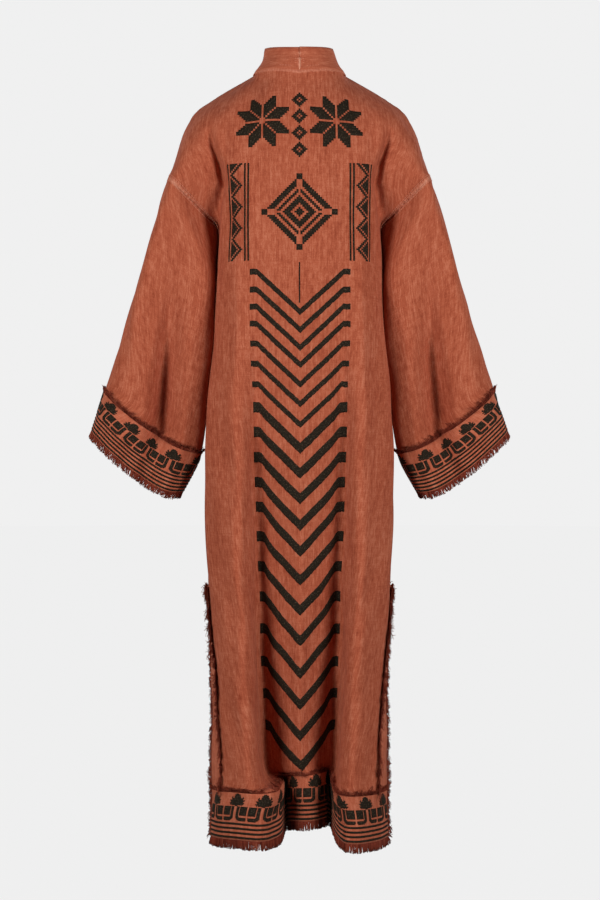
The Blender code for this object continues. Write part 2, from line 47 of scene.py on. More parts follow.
# The kaftan's own sizes, in metres
cut = {
    "wall": 0.0012, "neckbandWall": 0.0022, "bandLift": 0.0016, "underarm": -0.254, "slitTop": -0.874,
    "hem": -1.296, "hemBand": 0.080, "bandStep": 0.010, "cuffBandStart": 0.84,
    "neckHalfWidth": 0.079, "neckDepth": 0.068, "neckSideY": 0.004, "backNeckRise": 0.006, "sideNeckRise": 0.0115,
    "neckband": 0.0515, "neckbandLean": 0.003, "neckbandRaise": 0.010,
    "collarHalfWidth": 0.0585, "collarCentreY": 0.013, "collarDepth": 0.047, "collarTop": 0.0503,
    "collarSideRise": 0.0045, "collarHollow": 0.003, "collarEnd": 0.17, "collarStands": (0.05, 0.25),
    "slitSpread": 0.036, "slitSpreadDrop": 0.30, "slitSpreadPower": 0.8,
    "armholeDepth": 0.078, "underarmPoint": 2.7,
}

# Cells of the first, wide grid, the fine cells each of them becomes, and the points of the lines it is spaced on
cells = {"backHalf": 18, "neck": 6, "front": 11, "armhole": 10, "band": 2, "slit": 8, "side": 12, "sleeve": 10}
finer = {"up": 8, "back": 4, "front": 5, "round": 8, "sleeveDown": 10, "neckband": 4}
linePoints = {"back": 481, "front": 321, "shoulder": 241}
smoothing = {"rounds": 10, "kept": 0.5, "across": 0.35, "up": 0.15}

hemLine = {
    "place": [-1.0, -0.75, -0.46, -0.28, 0.0, 0.26, 0.38, 0.75, 1.0],
    "rise": [-0.008, -0.007, 0.002, 0.018, 0.023, 0.010, 0.002, -0.001, -0.007],
    "start": -0.80,
}

# How the rows above the underarm leave it, where they turn into the armhole's own tangent, and how they arrive
rowTangents = {
    "backLeave": (0, 0.030, 0.27), "backTurn": 0.80,
    "frontLeave": (0.012, -0.020, 0.27), "frontTurn": 0.75,
    "backArrive": ([0, 0.33, 0.62, 1], [(0, -0.08, 0.20), (0, -0.26, 0.10), (0, -0.30, 0.01), (0, -0.312, 0)]),
    "frontArrive": ([0, 0.40, 1], [(0.035, 0.24, 0.10), (0, 0.29, 0.03), (0, 0.312, 0)]),
}

# Millimetres from here on. Each level of the back runs from the centre fold out to the side seam
backLevels = {
    "height": [-1296, -1256, -1216, -1206, -1150, -1050, -874, -620, -420, -254],
    "swing": [-15, -14, -13, -3, -1, 0, 0, 0, 0, 0],
    "centreY": [62, 62, 61, 62, 66, 78, 92, 104, 106, 108],
    "ridge": [(13, 57), (13, 57), (13, 55), (14, 53), (15, 55), (16, 68), (20, 83), (22, 101), (22, 105),
              (22, 107)],
    "foot": [(26, 36), (26, 36), (27, 33), (34, 31), (38, 32), (40, 47), (45, 66), (48, 92), (44, 103), (42, 107)],
    "valley": [(38, 12), (38, 12), (39, 10), (57, 2), (63, 6), (67, 24), (71, 46), (74, 76), (68, 99), (64, 105)],
    "crest": [(52, 78), (52, 79), (50, 88), (64, 84), (71, 88), (78, 94), (88, 96), (93, 99), (90, 98), (89, 99)],
    "lobe": [(76, 113), (77, 113), (78, 113), (84, 113), (89, 113), (98, 111), (106, 107), (115, 98), (114, 91),
             (112, 85)],
    "outer": [(126, 84), (127, 82), (128, 80), (129, 79), (132, 75), (135, 70), (151, 58), (159, 47), (143, 45),
              (135, 50)],
    "sideX": [152, 151, 150, 150, 149, 149, 158, 159, 146, 142],
    "swingShares": [1, 1, 1, 0.9, 0.5, 0, 0],
}

# From the neckband's seam out to the side seam
frontLevels = {
    "height": [-1296, -1180, -1050, -874, -620, -420, -254],
    "seam": [(62, -103), (60, -106), (58, -108), (56, -110), (55, -112), (55, -116), (60, -117)],
    "valley": [(84, -86), (83, -91), (81, -96), (81, -102), (85, -107), (84, -109), (88, -107)],
    "crest": [(114, -112), (112, -110), (110, -107), (112, -101), (115, -94), (109, -90), (111, -87)],
    "outer": [(135, -76), (135, -71), (137, -65), (149, -57), (147, -52), (130, -50), (133, -50)],
    "sideX": [152, 149, 149, 158, 159, 146, 142],
}

shoulder = [(79, 11.5), (99, 0), (134, -20), (166, -41), (181, -52), (191, -68), (203, -91), (214, -127),
            (227, -171)]

# The fold between torso and arm, from the underarm up: a wide hollow, and a crisp crease beside the torso
armCrease = {
    "height": [-254, -220, -178, -130, -90, -60],
    "x": [143, 142, 142, 151, 158, 160],
    "depth": [0, 8, 10, 6, 2, 0],
    "steep": 0.013, "gentle": 0.024, "sideFade": (0.86, 1.0), "topFade": (0.70, 1.0),
}
crispCrease = {
    "height": [-262, -240, -210, -183, -150, -120, -100, -88],
    "x": [139, 137, 132, 128, 136, 147, 152, 155],
    "depth": [4, 12, 22, 29, 25, 15, 6, 0],
    "gentle": [16, 15, 11, 9, 8, 7, 6, 5],
    "steep": 4.0, "behind": 0.02, "footRamp": 0.012,
}

sleeveRings = {
    "share": [0.00, 0.22, 0.45, 0.66, 0.84, 1.00],
    "outer": [(227, -171), (259, -273), (291, -380), (319, -470), (342, -537), (364, -604)],
    "inner": [(143, -254), (139, -352), (144, -455), (158, -552), (173, -645), (206, -711)],
    "backDepth": [78, 80, 74, 66, 56, 56],
    "frontDepth": [78, 76, 73, 67, 60, 58],
    "centreY": [0, -16, -26, -32, -35, -38],
    "tilt": [0, -4, -8, -14, -20, -24],
    "flatness": [7.0, 2.4, 1.6],
    "droop": 6, "pointFall": 1.8, "foldFade": (0.76, 0.96),
}
# Down the back of the sleeve: the fold, a dip inside it and a swell outside it. Place 0 is the inner edge
sleeveFolds = [
    {"at": 0.345, "inward": 0.125, "outward": 0.062, "deep": 0.050, "grows": (0.22, 0.76), "cuffLoss": 0.72},
    {"at": 0.10, "inward": 0.05, "outward": 0.05, "deep": 0.007, "grows": (0.20, 0.60), "cuffLoss": 0},
    {"at": 0.62, "inward": 0.13, "outward": 0.13, "deep": -0.006, "grows": (0.30, 0.80), "cuffLoss": 0},
]
farAway = 9.0


def ramp(value, start, end):
    share = np.clip((np.asarray(value, float) - start) / (end - start), 0, 1)
    return share * share * (3 - 2 * share)


def bell(away):
    return np.exp(-(away**2))


def evenly(count):
    return np.linspace(0, 1, count + 1)


def unit(vectors):
    return vectors / np.maximum(np.linalg.norm(vectors, axis=-1, keepdims=True), 1e-12)


def hermite(start, leave, end, arrive, share):
    t = np.asarray(share, float)[..., None]
    return ((2 * t**3 - 3 * t**2 + 1) * start + (t**3 - 2 * t**2 + t) * leave
            + (3 * t**2 - 2 * t**3) * end + (t**3 - t**2) * arrive)


def spline(keys, values, at):
    keys = np.asarray(keys, float)
    values = np.asarray(values, float).reshape(len(keys), -1)
    slopes = np.gradient(values, keys, axis=0)
    at = np.clip(np.atleast_1d(np.asarray(at, float)), keys[0], keys[-1])
    i = np.clip(np.searchsorted(keys, at, side="right") - 1, 0, len(keys) - 2)
    span = keys[i + 1] - keys[i]
    share = (at - keys[i]) / span
    return hermite(values[i], slopes[i] * span[:, None], values[i + 1], slopes[i + 1] * span[:, None], share)


def smoothed(points, count):
    return spline(range(len(points)), points, np.linspace(0, len(points) - 1, count))


# The cloth run through from the first point on
def runLength(points, axis=0):
    steps = np.linalg.norm(np.diff(points, axis=axis), axis=-1)
    return np.insert(np.cumsum(steps, axis=axis), 0, 0, axis=axis)


def valuesAt(at, length, values):
    return np.stack([np.interp(at, length, c) for c in values.T], axis=-1)


def spaced(points, shares):
    length = runLength(points)
    return valuesAt(np.asarray(shares) * length[-1], length, points)


def column(table, name):
    return np.array(table[name], float) * mm


def slitY(height):
    down = min(1.0, max(0.0, cut["slitTop"] - height) / cut["slitSpreadDrop"])
    return cut["slitSpread"] * down ** cut["slitSpreadPower"]


def levelPoints(levels, height, names):
    heights = column(levels, "height")
    return [spline(heights, column(levels, name), height)[0] for name in names]


def backLevel(height):
    centreY, sideX, swing = (v[0] for v in levelPoints(backLevels, height, ["centreY", "sideX", "swing"]))
    half = levelPoints(backLevels, height, ["ridge", "foot", "valley", "crest", "lobe", "outer"])
    half.append(np.array([sideX, slitY(height)]))
    moves = [[share * swing, 0] for share in backLevels["swingShares"]]
    left = [p + move for p, move in zip(half, moves)]
    right = [p * [-1, 1] + move for p, move in zip(half, moves)]
    fine = smoothed(np.array([*reversed(right), [swing, centreY], *left]), linePoints["back"])
    middle = len(fine) // 2
    shares = evenly(cells["backHalf"])
    return np.concatenate([spaced(fine[: middle + 1], shares), spaced(fine[middle:], shares)[1:]])


def frontLevel(height):
    points = levelPoints(frontLevels, height, ["seam", "valley", "crest", "outer"])
    sideX = levelPoints(frontLevels, height, ["sideX"])[0][0]
    points.append(np.array([sideX, -slitY(height)]))
    return spaced(smoothed(points, linePoints["front"]), evenly(cells["front"]))


def lowerHeights():
    bandTop = cut["hem"] + cut["hemBand"]
    return np.concatenate([
        np.linspace(cut["hem"], bandTop, cells["band"] + 1),
        np.linspace(bandTop + cut["bandStep"], cut["slitTop"], cells["slit"]),
        np.linspace(cut["slitTop"], cut["underarm"], cells["side"] + 1)[1:],
    ])


def backNeckline():
    turn = evenly(cells["neck"]) * math.pi / 2
    return np.stack([cut["neckHalfWidth"] * np.sin(turn), cut["neckSideY"] + cut["neckDepth"] * np.cos(turn),
                     cut["backNeckRise"] * np.cos(turn) + cut["sideNeckRise"] * np.sin(turn)], axis=-1)


def shoulderLine(share):
    line = np.array([(x, 0, z) for x, z in shoulder]) * mm
    points = spaced(smoothed(line, linePoints["shoulder"]), share)
    points[:, 1] = cut["neckSideY"] * (1 - share)
    return points


def creaseAt(points, crease, names):
    return (np.interp(points[..., 2], column(crease, "height"), column(crease, name)) for name in names)


def armholeCrease(points, across):
    line, depth = creaseAt(points, armCrease, ("x", "depth"))
    away = np.abs(points[:, 0]) - line
    width = np.where(away < 0, armCrease["steep"], armCrease["gentle"])
    return depth * bell(away / width) * (1 - ramp(across, *armCrease["sideFade"]))


def addCrispCrease(points):
    line, depth, gentle = creaseAt(points, crispCrease, ("x", "depth", "gentle"))
    away = np.abs(points[..., 0]) - line
    width = np.where(away < 0, crispCrease["steep"] * mm, gentle)
    away = np.where(points[..., 1] > crispCrease["behind"], away, farAway)
    foot = column(crispCrease, "height")[0]
    inside = ramp(points[..., 2], foot - crispCrease["footRamp"], foot)
    points[..., 1] -= inside * depth * bell(away / width)


# End slopes of a curve that stands out by the depth at its middle
def armholeTangents(outer, inner, depth, point):
    bulge = np.array([0, 4 * depth, 0])
    return (outer - inner) * point + bulge, -bulge


# The rows from the underarm up to the top line. Side is 1 for the back and -1 for the front. At the edges a row
# leaves as the armhole's own curve does, mirrored on the right
def withUpperRows(rows, top, panel, across, side):
    bottom, away = rows[-1], np.abs(across)
    turn = ramp(away, rowTangents[panel + "Turn"], 1.0)[:, None]
    corner = armholeTangents(top[-1], bottom[-1], side * cut["armholeDepth"], cut["underarmPoint"])[0]
    leave = (1 - turn) * rowTangents[panel + "Leave"] + turn * corner * np.sign(across)[:, None] ** [1, 0, 0]
    arrive = spline(*rowTangents[panel + "Arrive"], away)
    ups = evenly(cells["armhole"])
    patch = np.array([hermite(bottom, leave, top, arrive, np.full(len(bottom), up)) for up in ups])
    for _ in range(smoothing["rounds"]):
        acrossMean = (patch[1:-1, :-2] + patch[1:-1, 2:]) / 2
        upMean = (patch[:-2, 1:-1] + patch[2:, 1:-1]) / 2
        patch[1:-1, 1:-1] = (smoothing["kept"] * patch[1:-1, 1:-1] + smoothing["across"] * acrossMean
                             + smoothing["up"] * upMean)
    for up, row in zip(ups, patch):
        row[:, 1] -= side * armholeCrease(row, away) * (1 - ramp(up, *armCrease["topFade"]))
    return np.array(rows + list(patch[1:]))


def backGrid():
    across = np.linspace(-1, 1, 2 * cells["backHalf"] + 1)
    rise = spline(hemLine["place"], hemLine["rise"], across)[:, 0]
    rows = [np.column_stack([backLevel(h), h + rise * ramp(-h, -hemLine["start"], -cut["hem"])])
            for h in lowerHeights()]
    left = np.concatenate([backNeckline(), shoulderLine(evenly(cells["backHalf"] - cells["neck"]))[1:]])
    return withUpperRows(rows, np.concatenate([left[:0:-1] * mirror, left]), "back", across, 1)


def frontGrid():
    across = evenly(cells["front"])
    rows = [np.column_stack([frontLevel(h), np.full(len(across), h)]) for h in lowerHeights()]
    return withUpperRows(rows, shoulderLine(across), "front", across, -1)


def sleeveRing(share, outer, inner, backDepth, frontDepth, centreY, tilt):
    outer, inner = (np.array([end[0], centreY, end[1]]) for end in (outer, inner))
    places = evenly(cells["armhole"])
    droop = np.array([0, 0, sleeveRings["droop"] * tilt])

    def half(depth, lean):
        point = cut["underarmPoint"] - sleeveRings["pointFall"] * share
        leave, arrive = armholeTangents(outer, inner, depth, point)
        return hermite(inner, leave + lean, outer, arrive, places)

    return np.concatenate([half(backDepth, droop), half(-frontDepth, droop / 2)[-2:0:-1]])


def sleeveGrid():
    wide = np.linspace(0, cut["cuffBandStart"], cells["sleeve"] - cells["band"] + 1)
    shares = np.concatenate([wide, np.linspace(cut["cuffBandStart"], 1, cells["band"] + 1)[1:]])
    rings = []
    for share in shares:
        outer, inner, *values = [spline(sleeveRings["share"], column(sleeveRings, name), share)[0]
                                 for name in ("outer", "inner", "backDepth", "frontDepth", "centreY", "tilt")]
        rings.append(sleeveRing(share, outer, inner, *(value[0] for value in values)))
    return np.array(rings), shares


def sleeveFold(share, place):
    depth = 0
    for fold in sleeveFolds:
        wide = np.where(place < fold["at"], fold["inward"], fold["outward"])
        deep = fold["deep"] * ramp(share, *fold["grows"]) * bell((place - fold["at"]) / wide)
        depth = depth + deep * (1 - fold["cuffLoss"] * ramp(share, *sleeveRings["foldFade"]))
    return depth


# A flatter back than the first grid's, rounded close to the inner edge
def sleeveFlatness(share, place):
    flatness = np.interp(place, [0, 0.5, 1], sleeveRings["flatness"])
    height = 4 * place * (1 - place)
    flat = 1 - (1 - height) ** (1 + (flatness - 1) * ramp(share, 0, 0.25))
    depth = spline(sleeveRings["share"], column(sleeveRings, "backDepth"), share[:, 0])
    return depth * (flat - height)


def neckbandGrid(front):
    neck, last = backNeckline(), cells["neck"]
    seam = np.concatenate([neck, front[::-1, 0][1:]])
    turn = evenly(last) * math.pi / 2
    free = np.empty_like(seam)
    free[: last + 1] = np.column_stack([
        cut["collarHalfWidth"] * np.sin(turn),
        cut["collarCentreY"] + cut["collarDepth"] * np.cos(turn),
        cut["collarTop"] + cut["collarSideRise"] * np.sin(turn) ** 2,
    ])
    atSide, end = free[last] - neck[-1], cut["collarEnd"]
    for i in range(last + 1, len(seam)):
        drop = neck[-1, 2] - seam[i, 2]
        down = ramp(drop, 0.0, end)
        raised = cut["neckbandRaise"] * (1 - ramp(drop, end, 2 * end))
        flat = np.array([-cut["neckband"], -cut["neckbandLean"], raised])
        free[i] = seam[i] + unit((1 - down) * atSide + down * flat) * cut["neckband"]
    middle = (seam + free) / 2
    standing = 1 - ramp(-seam[:, 2:], *cut["collarStands"])
    middle -= unit(middle * [1, 1, 0]) * cut["collarHollow"] * standing
    return np.stack([seam, middle, free], axis=1)


# One wide grid made into a fine one, on smooth curves both ways. A closed one laps over itself while it is drawn
def refined(grid, along, across, closed=False):
    count, lap = grid.shape[1], 3
    if closed:
        grid = np.concatenate([grid[:, -lap:], grid, grid[:, :lap + 1]], axis=1)
    wide = np.stack([smoothed(row, (len(row) - 1) * across + 1) for row in grid])
    if closed:
        wide = wide[:, lap * across: (lap + count) * across]
    rows = (len(grid) - 1) * along + 1
    return np.stack([smoothed(wide[:, j], rows) for j in range(wide.shape[1])], axis=1)


def gridNormals(grid, side, closed=False):
    along = np.gradient(grid, axis=0)
    if closed:
        across = (np.roll(grid, -1, axis=1) - np.roll(grid, 1, axis=1)) / 2
    else:
        across = np.gradient(grid, axis=1)
    return side * unit(np.cross(across, along))


# The lengths along the cloth from one column and one row, as on the cutting table
def flatPlaces(grid, zeroColumn, zeroRow, closed=False):
    wide = np.concatenate([grid, grid[:, :1]], axis=1) if closed else grid
    s, v = runLength(wide, 1), runLength(wide, 0)
    return s - s[:, [zeroColumn]], v - v[[zeroRow]]


# Soft troughs and ridges, given in mm and degrees: across, up from the underarm, length, width, depth, lean
folds = {
    "back": [
        (-128, 152, 120, 9, 2.6, -6), (131, 146, 104, 8, 2.2, 7), (-108, 64, 150, 13, 1.8, -9),
        (104, 48, 128, 12, 1.6, 11), (-74, -62, 260, 15, 1.9, 3), (70, -88, 215, 13, 1.6, -4),
        (-31, 20, 170, 12, 1.3, 2), (36, -14, 205, 11, 1.2, -2), (4, -190, 180, 10, 0.9, 1),
        (-118, -168, 230, 14, 1.7, 5), (123, -205, 260, 16, 1.9, -3), (-152, -322, 210, 15, 1.8, 4),
        (149, -358, 190, 13, 1.5, -5), (-58, -300, 250, 13, -1.4, 2), (64, -338, 222, 12, -1.2, -3),
        (-102, -520, 300, 14, -1.6, -2), (97, -560, 262, 15, -1.8, 2), (-176, -600, 240, 12, 1.4, 3),
        (181, -640, 205, 13, 1.6, -2), (-22, -560, 240, 8, 0.9, 1), (17, -700, 260, 8, 0.8, -1),
        (-128, -820, 240, 11, 1.5, 2), (134, -850, 260, 12, 1.3, -3), (-198, -470, 150, 11, 1.3, -6),
        (-88, 206, 70, 10, 1.2, 28), (93, 212, 64, 9, 1.0, -31), (-46, 118, 120, 14, 0.9, 12),
        (51, 126, 98, 13, 0.8, -15), (-182, 92, 92, 10, 2.0, -24), (188, 84, 80, 9, 1.7, 27),
        (-204, 40, 84, 11, 1.8, 34), (199, 32, 96, 12, 1.5, -30), (-150, -40, 130, 12, 1.6, 9),
        (156, -66, 118, 11, 1.3, -8), (-140, 222, 64, 12, 0.9, 46), (147, 216, 58, 11, 0.8, -41),
    ],
    "frontLeft": [
        (22, -60, 250, 13, 1.7, 2), (51, -180, 300, 15, 1.9, -3), (86, -120, 210, 12, 1.6, 4),
        (38, -420, 280, 13, -1.4, 1), (74, -520, 310, 14, 1.7, -2), (112, -340, 220, 12, 1.5, 3),
        (24, -760, 260, 12, 1.3, 2), (98, -800, 230, 13, 1.4, -2), (60, 90, 140, 14, 1.5, 12),
        (104, 60, 128, 12, 1.9, -18), (142, 30, 96, 11, 1.6, 24), (36, 170, 110, 12, 1.2, 18),
    ],
    "frontRight": [
        (27, -96, 230, 12, 1.5, -3), (46, -232, 280, 14, 1.8, 2), (91, -150, 190, 13, 1.7, -5),
        (33, -470, 260, 12, -1.3, -1), (80, -560, 290, 15, 1.6, 3), (108, -300, 240, 11, 1.3, -2),
        (29, -800, 240, 13, 1.2, -2), (95, -840, 250, 12, 1.5, 3), (64, 80, 150, 13, 1.4, -10),
        (99, 52, 118, 13, 1.7, 17), (146, 38, 88, 10, 1.5, -26), (41, 160, 96, 13, 1.1, -16),
    ],
    # On the sleeves: round from the inner edge up the back, down from the shoulder seam
    "sleeveLeft": [
        (98, -88, 190, 14, 2.2, 6), (142, -150, 230, 15, -1.7, 3), (60, -196, 200, 13, 2.4, -8),
        (172, -226, 170, 13, 1.6, 5), (112, -292, 190, 12, -1.8, -3), (38, -92, 120, 11, 2.0, 14),
        (84, -34, 84, 11, 1.5, -22), (150, -52, 96, 12, 1.2, 18), (190, -96, 120, 12, 1.3, -6),
        (262, -120, 210, 14, 1.9, -4), (302, -206, 240, 15, 2.1, 3), (338, -96, 150, 12, 1.7, 10),
        (246, -300, 160, 13, 1.6, -5), (322, -330, 130, 12, -1.6, 4), (282, -44, 80, 11, 1.5, 21),
    ],
    "sleeveRight": [
        (104, -102, 170, 13, 2.0, -5), (136, -172, 220, 14, -1.5, -4), (66, -214, 190, 14, 2.3, 7),
        (178, -204, 160, 12, 1.4, -6), (118, -310, 170, 13, -1.6, 4), (42, -84, 130, 12, 1.8, -12),
        (88, -40, 78, 10, 1.4, 25), (146, -60, 88, 13, 1.1, -16), (186, -110, 110, 11, 1.2, 8),
        (258, -134, 220, 13, 1.8, 5), (306, -190, 230, 14, 1.9, -4), (334, -108, 140, 13, 1.6, -9),
        (250, -286, 170, 12, 1.5, 4), (318, -340, 120, 13, -1.4, -5), (286, -50, 74, 12, 1.3, -20),
    ],
}

# Low unevenness of washed linen: sizes in metres
washed = {
    "waves": 16, "across": (0.035, 0.11), "down": (0.14, 0.60), "height": 0.0011, "calm": (0.002, 0.022),
    "bend": 0.9, "bendRate": 11, "creaseBow": 0.5,
}


def creased(s, v, creases):
    depth = np.zeros_like(s)
    for across, up, length, width, deep, lean in creases:
        turn = math.radians(lean)
        ds, dv = s - across * mm, v - up * mm
        along = (dv * math.cos(turn) + ds * math.sin(turn)) / (length * mm / 2)
        aside = (ds * math.cos(turn) - dv * math.sin(turn)) / (width * mm) + washed["creaseBow"] * along**2
        depth += deep * mm * bell(aside) * np.clip(1 - along**2, 0, None) ** 2
    return depth


def uneven(s, v, seed):
    draw = random.Random(seed)
    height = np.zeros_like(s)
    for _ in range(washed["waves"]):
        acrossRate = 2 * math.pi / draw.uniform(*washed["across"])
        downRate = 2 * math.pi / draw.uniform(*washed["down"]) * draw.choice((-1, 1))
        start = draw.uniform(0, 2 * math.pi)
        bend = washed["bend"] * np.sin(v * washed["bendRate"] + start)
        height += np.sin(s * acrossRate + v * downRate + start + bend)
    return height * washed["height"] / math.sqrt(washed["waves"])


def distanceTo(points, line):
    flat = points.reshape(-1, 3)
    nearest = np.full(len(flat), farAway)
    for p in line:
        nearest = np.minimum(nearest, np.linalg.norm(flat - p, axis=1))
    return nearest.reshape(points.shape[:2])


# Cloth: a fine grid of points with its normals and flat places
def makeCloth(points, side, zeroColumn, zeroRow, closed=False):
    s, v = flatPlaces(points, zeroColumn, zeroRow, closed)
    return {"points": points, "normals": gridNormals(points, side, closed), "s": s, "v": v, "side": side,
            "closed": closed, "seamGap": np.full(points.shape[:2], 1.0)}


def dressCloth(cloth, creases, seed, sewn):
    columns = cloth["points"].shape[1]
    s, v = cloth["s"][:, :columns], cloth["v"][:, :columns]
    calm = ramp(distanceTo(cloth["points"], sewn), *washed["calm"])
    depth = (creased(s, v, creases) + uneven(s, v, seed)) * calm
    cloth["points"] = cloth["points"] - cloth["normals"] * depth[..., None]
    cloth["normals"] = gridNormals(cloth["points"], cloth["side"], cloth["closed"])


def mirroredCloth(cloth):
    return {**cloth, "points": cloth["points"] * mirror, "normals": cloth["normals"] * mirror,
            "side": -cloth["side"], "s": cloth["s"] if cloth["closed"] else -cloth["s"]}


# A part of a cloth laid on top of it, as a band is sewn on. Its height is counted from the hem or the cuff's end
def bandOf(cloth, rows, columns):
    band = {**cloth, **{key: cloth[key][rows, columns] for key in ("points", "normals", "seamGap", "s", "v")}}
    band["points"] = band["points"] + band["normals"] * cut["bandLift"]
    band["v"] = band["v"] - band["v"][[-1 if cloth["closed"] else 0]]
    return band


def nodeName(name):
    return "".join("_" + c.lower() if c.isupper() else c for c in name)


def newObject(name, data):
    added = bpy.data.objects.new(name, data)
    bpy.context.scene.collection.objects.link(added)
    return added


def meshPiece(name, points, faces, look, node=None, uvs=None, **values):
    mesh = bpy.data.meshes.new(name)
    mesh.from_pydata(points, [], faces)
    if uvs is not None:
        mesh.uv_layers.new(name="flat").data.foreach_set("uv", np.array(uvs, np.float32).ravel())
    for key, value in values.items():
        layer = mesh.attributes.new(key, "FLOAT", "POINT")
        layer.data.foreach_set("value", np.ascontiguousarray(value, np.float32))
    mesh.shade_smooth()
    mesh.materials.append(finish[look])
    piece = newObject(name, mesh)
    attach(piece, "root")
    if node is not None:
        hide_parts(node)


# The edges that only one face has, with the values at their ends
def openEdges(faces, values):
    found = {}
    for face, given in zip(faces, values):
        for a in range(4):
            b = (a + 1) % 4
            if (face[b], face[a]) in found:
                del found[face[b], face[a]]
            else:
                found[face[a], face[b]] = (given[a], given[b])
    return found


def gridCorners(rows, columns):
    i, j = (a.ravel() for a in np.mgrid[0:rows, 0:columns])
    return [(i, j), (i, j + 1), (i + 1, j + 1), (i + 1, j)]


# A shell of cloth: its outer side, its inner side and the rims between them
def clothPiece(name, cloth, thickness, look, node):
    outer = cloth["points"]
    rows, columns = outer.shape[:2]
    count = rows * columns
    corners = gridCorners(rows - 1, columns if cloth["closed"] else columns - 1)
    quads = np.stack([row * columns + place % columns for row, place in corners], axis=1)
    uvs = np.stack([np.stack([cloth["s"][c], cloth["v"][c]], axis=1) for c in corners], axis=1)
    if cloth["side"] < 0:
        quads, uvs = quads[:, ::-1], uvs[:, ::-1]
    rims = openEdges(quads.tolist(), uvs.tolist())
    rimFaces = [(b, a, a + count, b + count) for a, b in rims]
    rimPlaces = [(b, a, a, b) for a, b in rims.values()]
    points = np.concatenate([p.reshape(-1, 3) for p in (outer, outer - cloth["normals"] * thickness)])
    faces = np.concatenate([quads, quads[:, ::-1] + count, rimFaces])
    meshPiece(name, points.tolist(), faces.tolist(), look, node, np.concatenate([uvs, uvs[:, ::-1], rimPlaces]),
              seamGap=np.tile(cloth["seamGap"].ravel(), 2))


# Places on a cloth, found by its flat lengths
def flatMap(cloth):
    points, normals = cloth["points"], cloth["normals"]
    if cloth["closed"]:
        points, normals = (np.concatenate([a, a[:, :1]], axis=1) for a in (points, normals))
    rows, columns = points.shape[:2]
    flat = np.stack([cloth["s"], cloth["v"], np.zeros_like(cloth["s"])], axis=-1)
    quads = np.stack([i * columns + j for i, j in gridCorners(rows - 1, columns - 1)], axis=1)
    triangles = np.concatenate([quads[:, [0, 1, 2]], quads[:, [0, 2, 3]]]).tolist()
    flat, points, normals = ([Vector(p) for p in a.reshape(-1, 3).tolist()] for a in (flat, points, normals))
    return {"tree": BVHTree.FromPolygons(flat, triangles), "triangles": triangles, "flat": flat,
            "points": points, "normals": normals}


def onCloth(places, s, v, lift):
    hit, _, index, _ = places["tree"].find_nearest(Vector((s, v, 0)))
    flat, points, normals = ([places[key][c] for c in places["triangles"][index]]
                             for key in ("flat", "points", "normals"))
    normal = barycentric_transform(hit, *flat, *normals)
    return barycentric_transform(hit, *flat, *points) + normal.normalized() * lift


# Embroidery: one raised patch for each set of cells, with its sides let into the cloth
stitching = {"edgeLift": 0.00035, "lift": 0.0007, "sunk": 0.0004}


def stitchedPatch(name, places, quads):
    used = {}
    for quad in quads:
        for corner in quad:
            used.setdefault(corner, len(used))
    edges = openEdges(quads, quads)
    rim = {corner for edge in edges for corner in edge}
    points = [onCloth(places, s, v, stitching["edgeLift" if (s, v) in rim else "lift"]) for s, v in used]
    faces = [tuple(used[corner] for corner in quad) for quad in quads]
    uvs = [corner for quad in quads for corner in quad]
    lower = {}
    for corner in rim:
        lower[corner] = len(points)
        points.append(onCloth(places, *corner, -stitching["sunk"]))
    for a, b in edges:
        faces.append((used[b], used[a], lower[a], lower[b]))
        uvs += [b, a, a, b]
    meshPiece(name, [tuple(p) for p in points], faces, "stitch", uvs=uvs)


def cellQuads(cellSet, cellWide, cellTall, acrossStart, upStart):
    def corner(i, j):
        return (round(acrossStart + i * cellWide, 6), round(upStart + j * cellTall, 6))
    return [(corner(i, j), corner(i + 1, j), corner(i + 1, j + 1), corner(i, j + 1)) for i, j in sorted(cellSet)]


# Materials
colours = {
    "linen": (0.385, 0.090, 0.043), "linenPale": (0.510, 0.160, 0.088), "linenDark": (0.250, 0.045, 0.020),
    "band": (0.420, 0.105, 0.052), "bandPale": (0.580, 0.195, 0.112), "bandDark": (0.300, 0.058, 0.028),
    "worn": (0.640, 0.270, 0.175),
    "stitch": (0.0135, 0.0095, 0.0058), "stitchLight": (0.105, 0.078, 0.050), "stitchRust": (0.120, 0.034, 0.018),
    # The pale fray colour is a painted highlight, put on the tips of some loose threads
    "fray": (0.200, 0.036, 0.019), "frayDark": (0.062, 0.009, 0.005), "frayPale": (0.430, 0.135, 0.078),
}


def rgba(name):
    return (*colours[name], 1)


def feed(tree, node, inputs):
    for key, value in inputs.items():
        if isinstance(value, bpy.types.NodeSocket):
            tree.links.new(value, node.inputs[key])
        else:
            node.inputs[key].default_value = value
    return node


def addNode(tree, kind, inputs=None, **settings):
    node = tree.nodes.new("ShaderNode" + kind)
    for key, value in settings.items():
        setattr(node, key, value)
    return feed(tree, node, inputs or {})


def mathNode(tree, operation, a, b, clamp=False):
    return addNode(tree, "Math", {0: a, 1: b}, operation=operation, use_clamp=clamp).outputs[0]


def times(tree, a, b, clamp=False):
    return mathNode(tree, "MULTIPLY", a, b, clamp)


def total(tree, first, *others):
    for value in others:
        first = mathNode(tree, "ADD", first, value)
    return first


# How far a value is past the start, times the gain
def past(tree, value, start, gain, clamp=True):
    return times(tree, mathNode(tree, "SUBTRACT", value, start), gain, clamp)


def mixColour(tree, share, a, b):
    return addNode(tree, "Mix", {0: share, 6: a, 7: b}, data_type="RGBA").outputs[2]


def stretchedNoise(tree, place, across, up, detail, roughness):
    wide = addNode(tree, "VectorMath", {0: place, 1: (across, up, 0)}, operation="MULTIPLY").outputs[0]
    return addNode(tree, "TexNoise", {"Vector": wide, "Scale": 1.0, "Detail": detail,
                                      "Roughness": roughness}).outputs["Fac"]


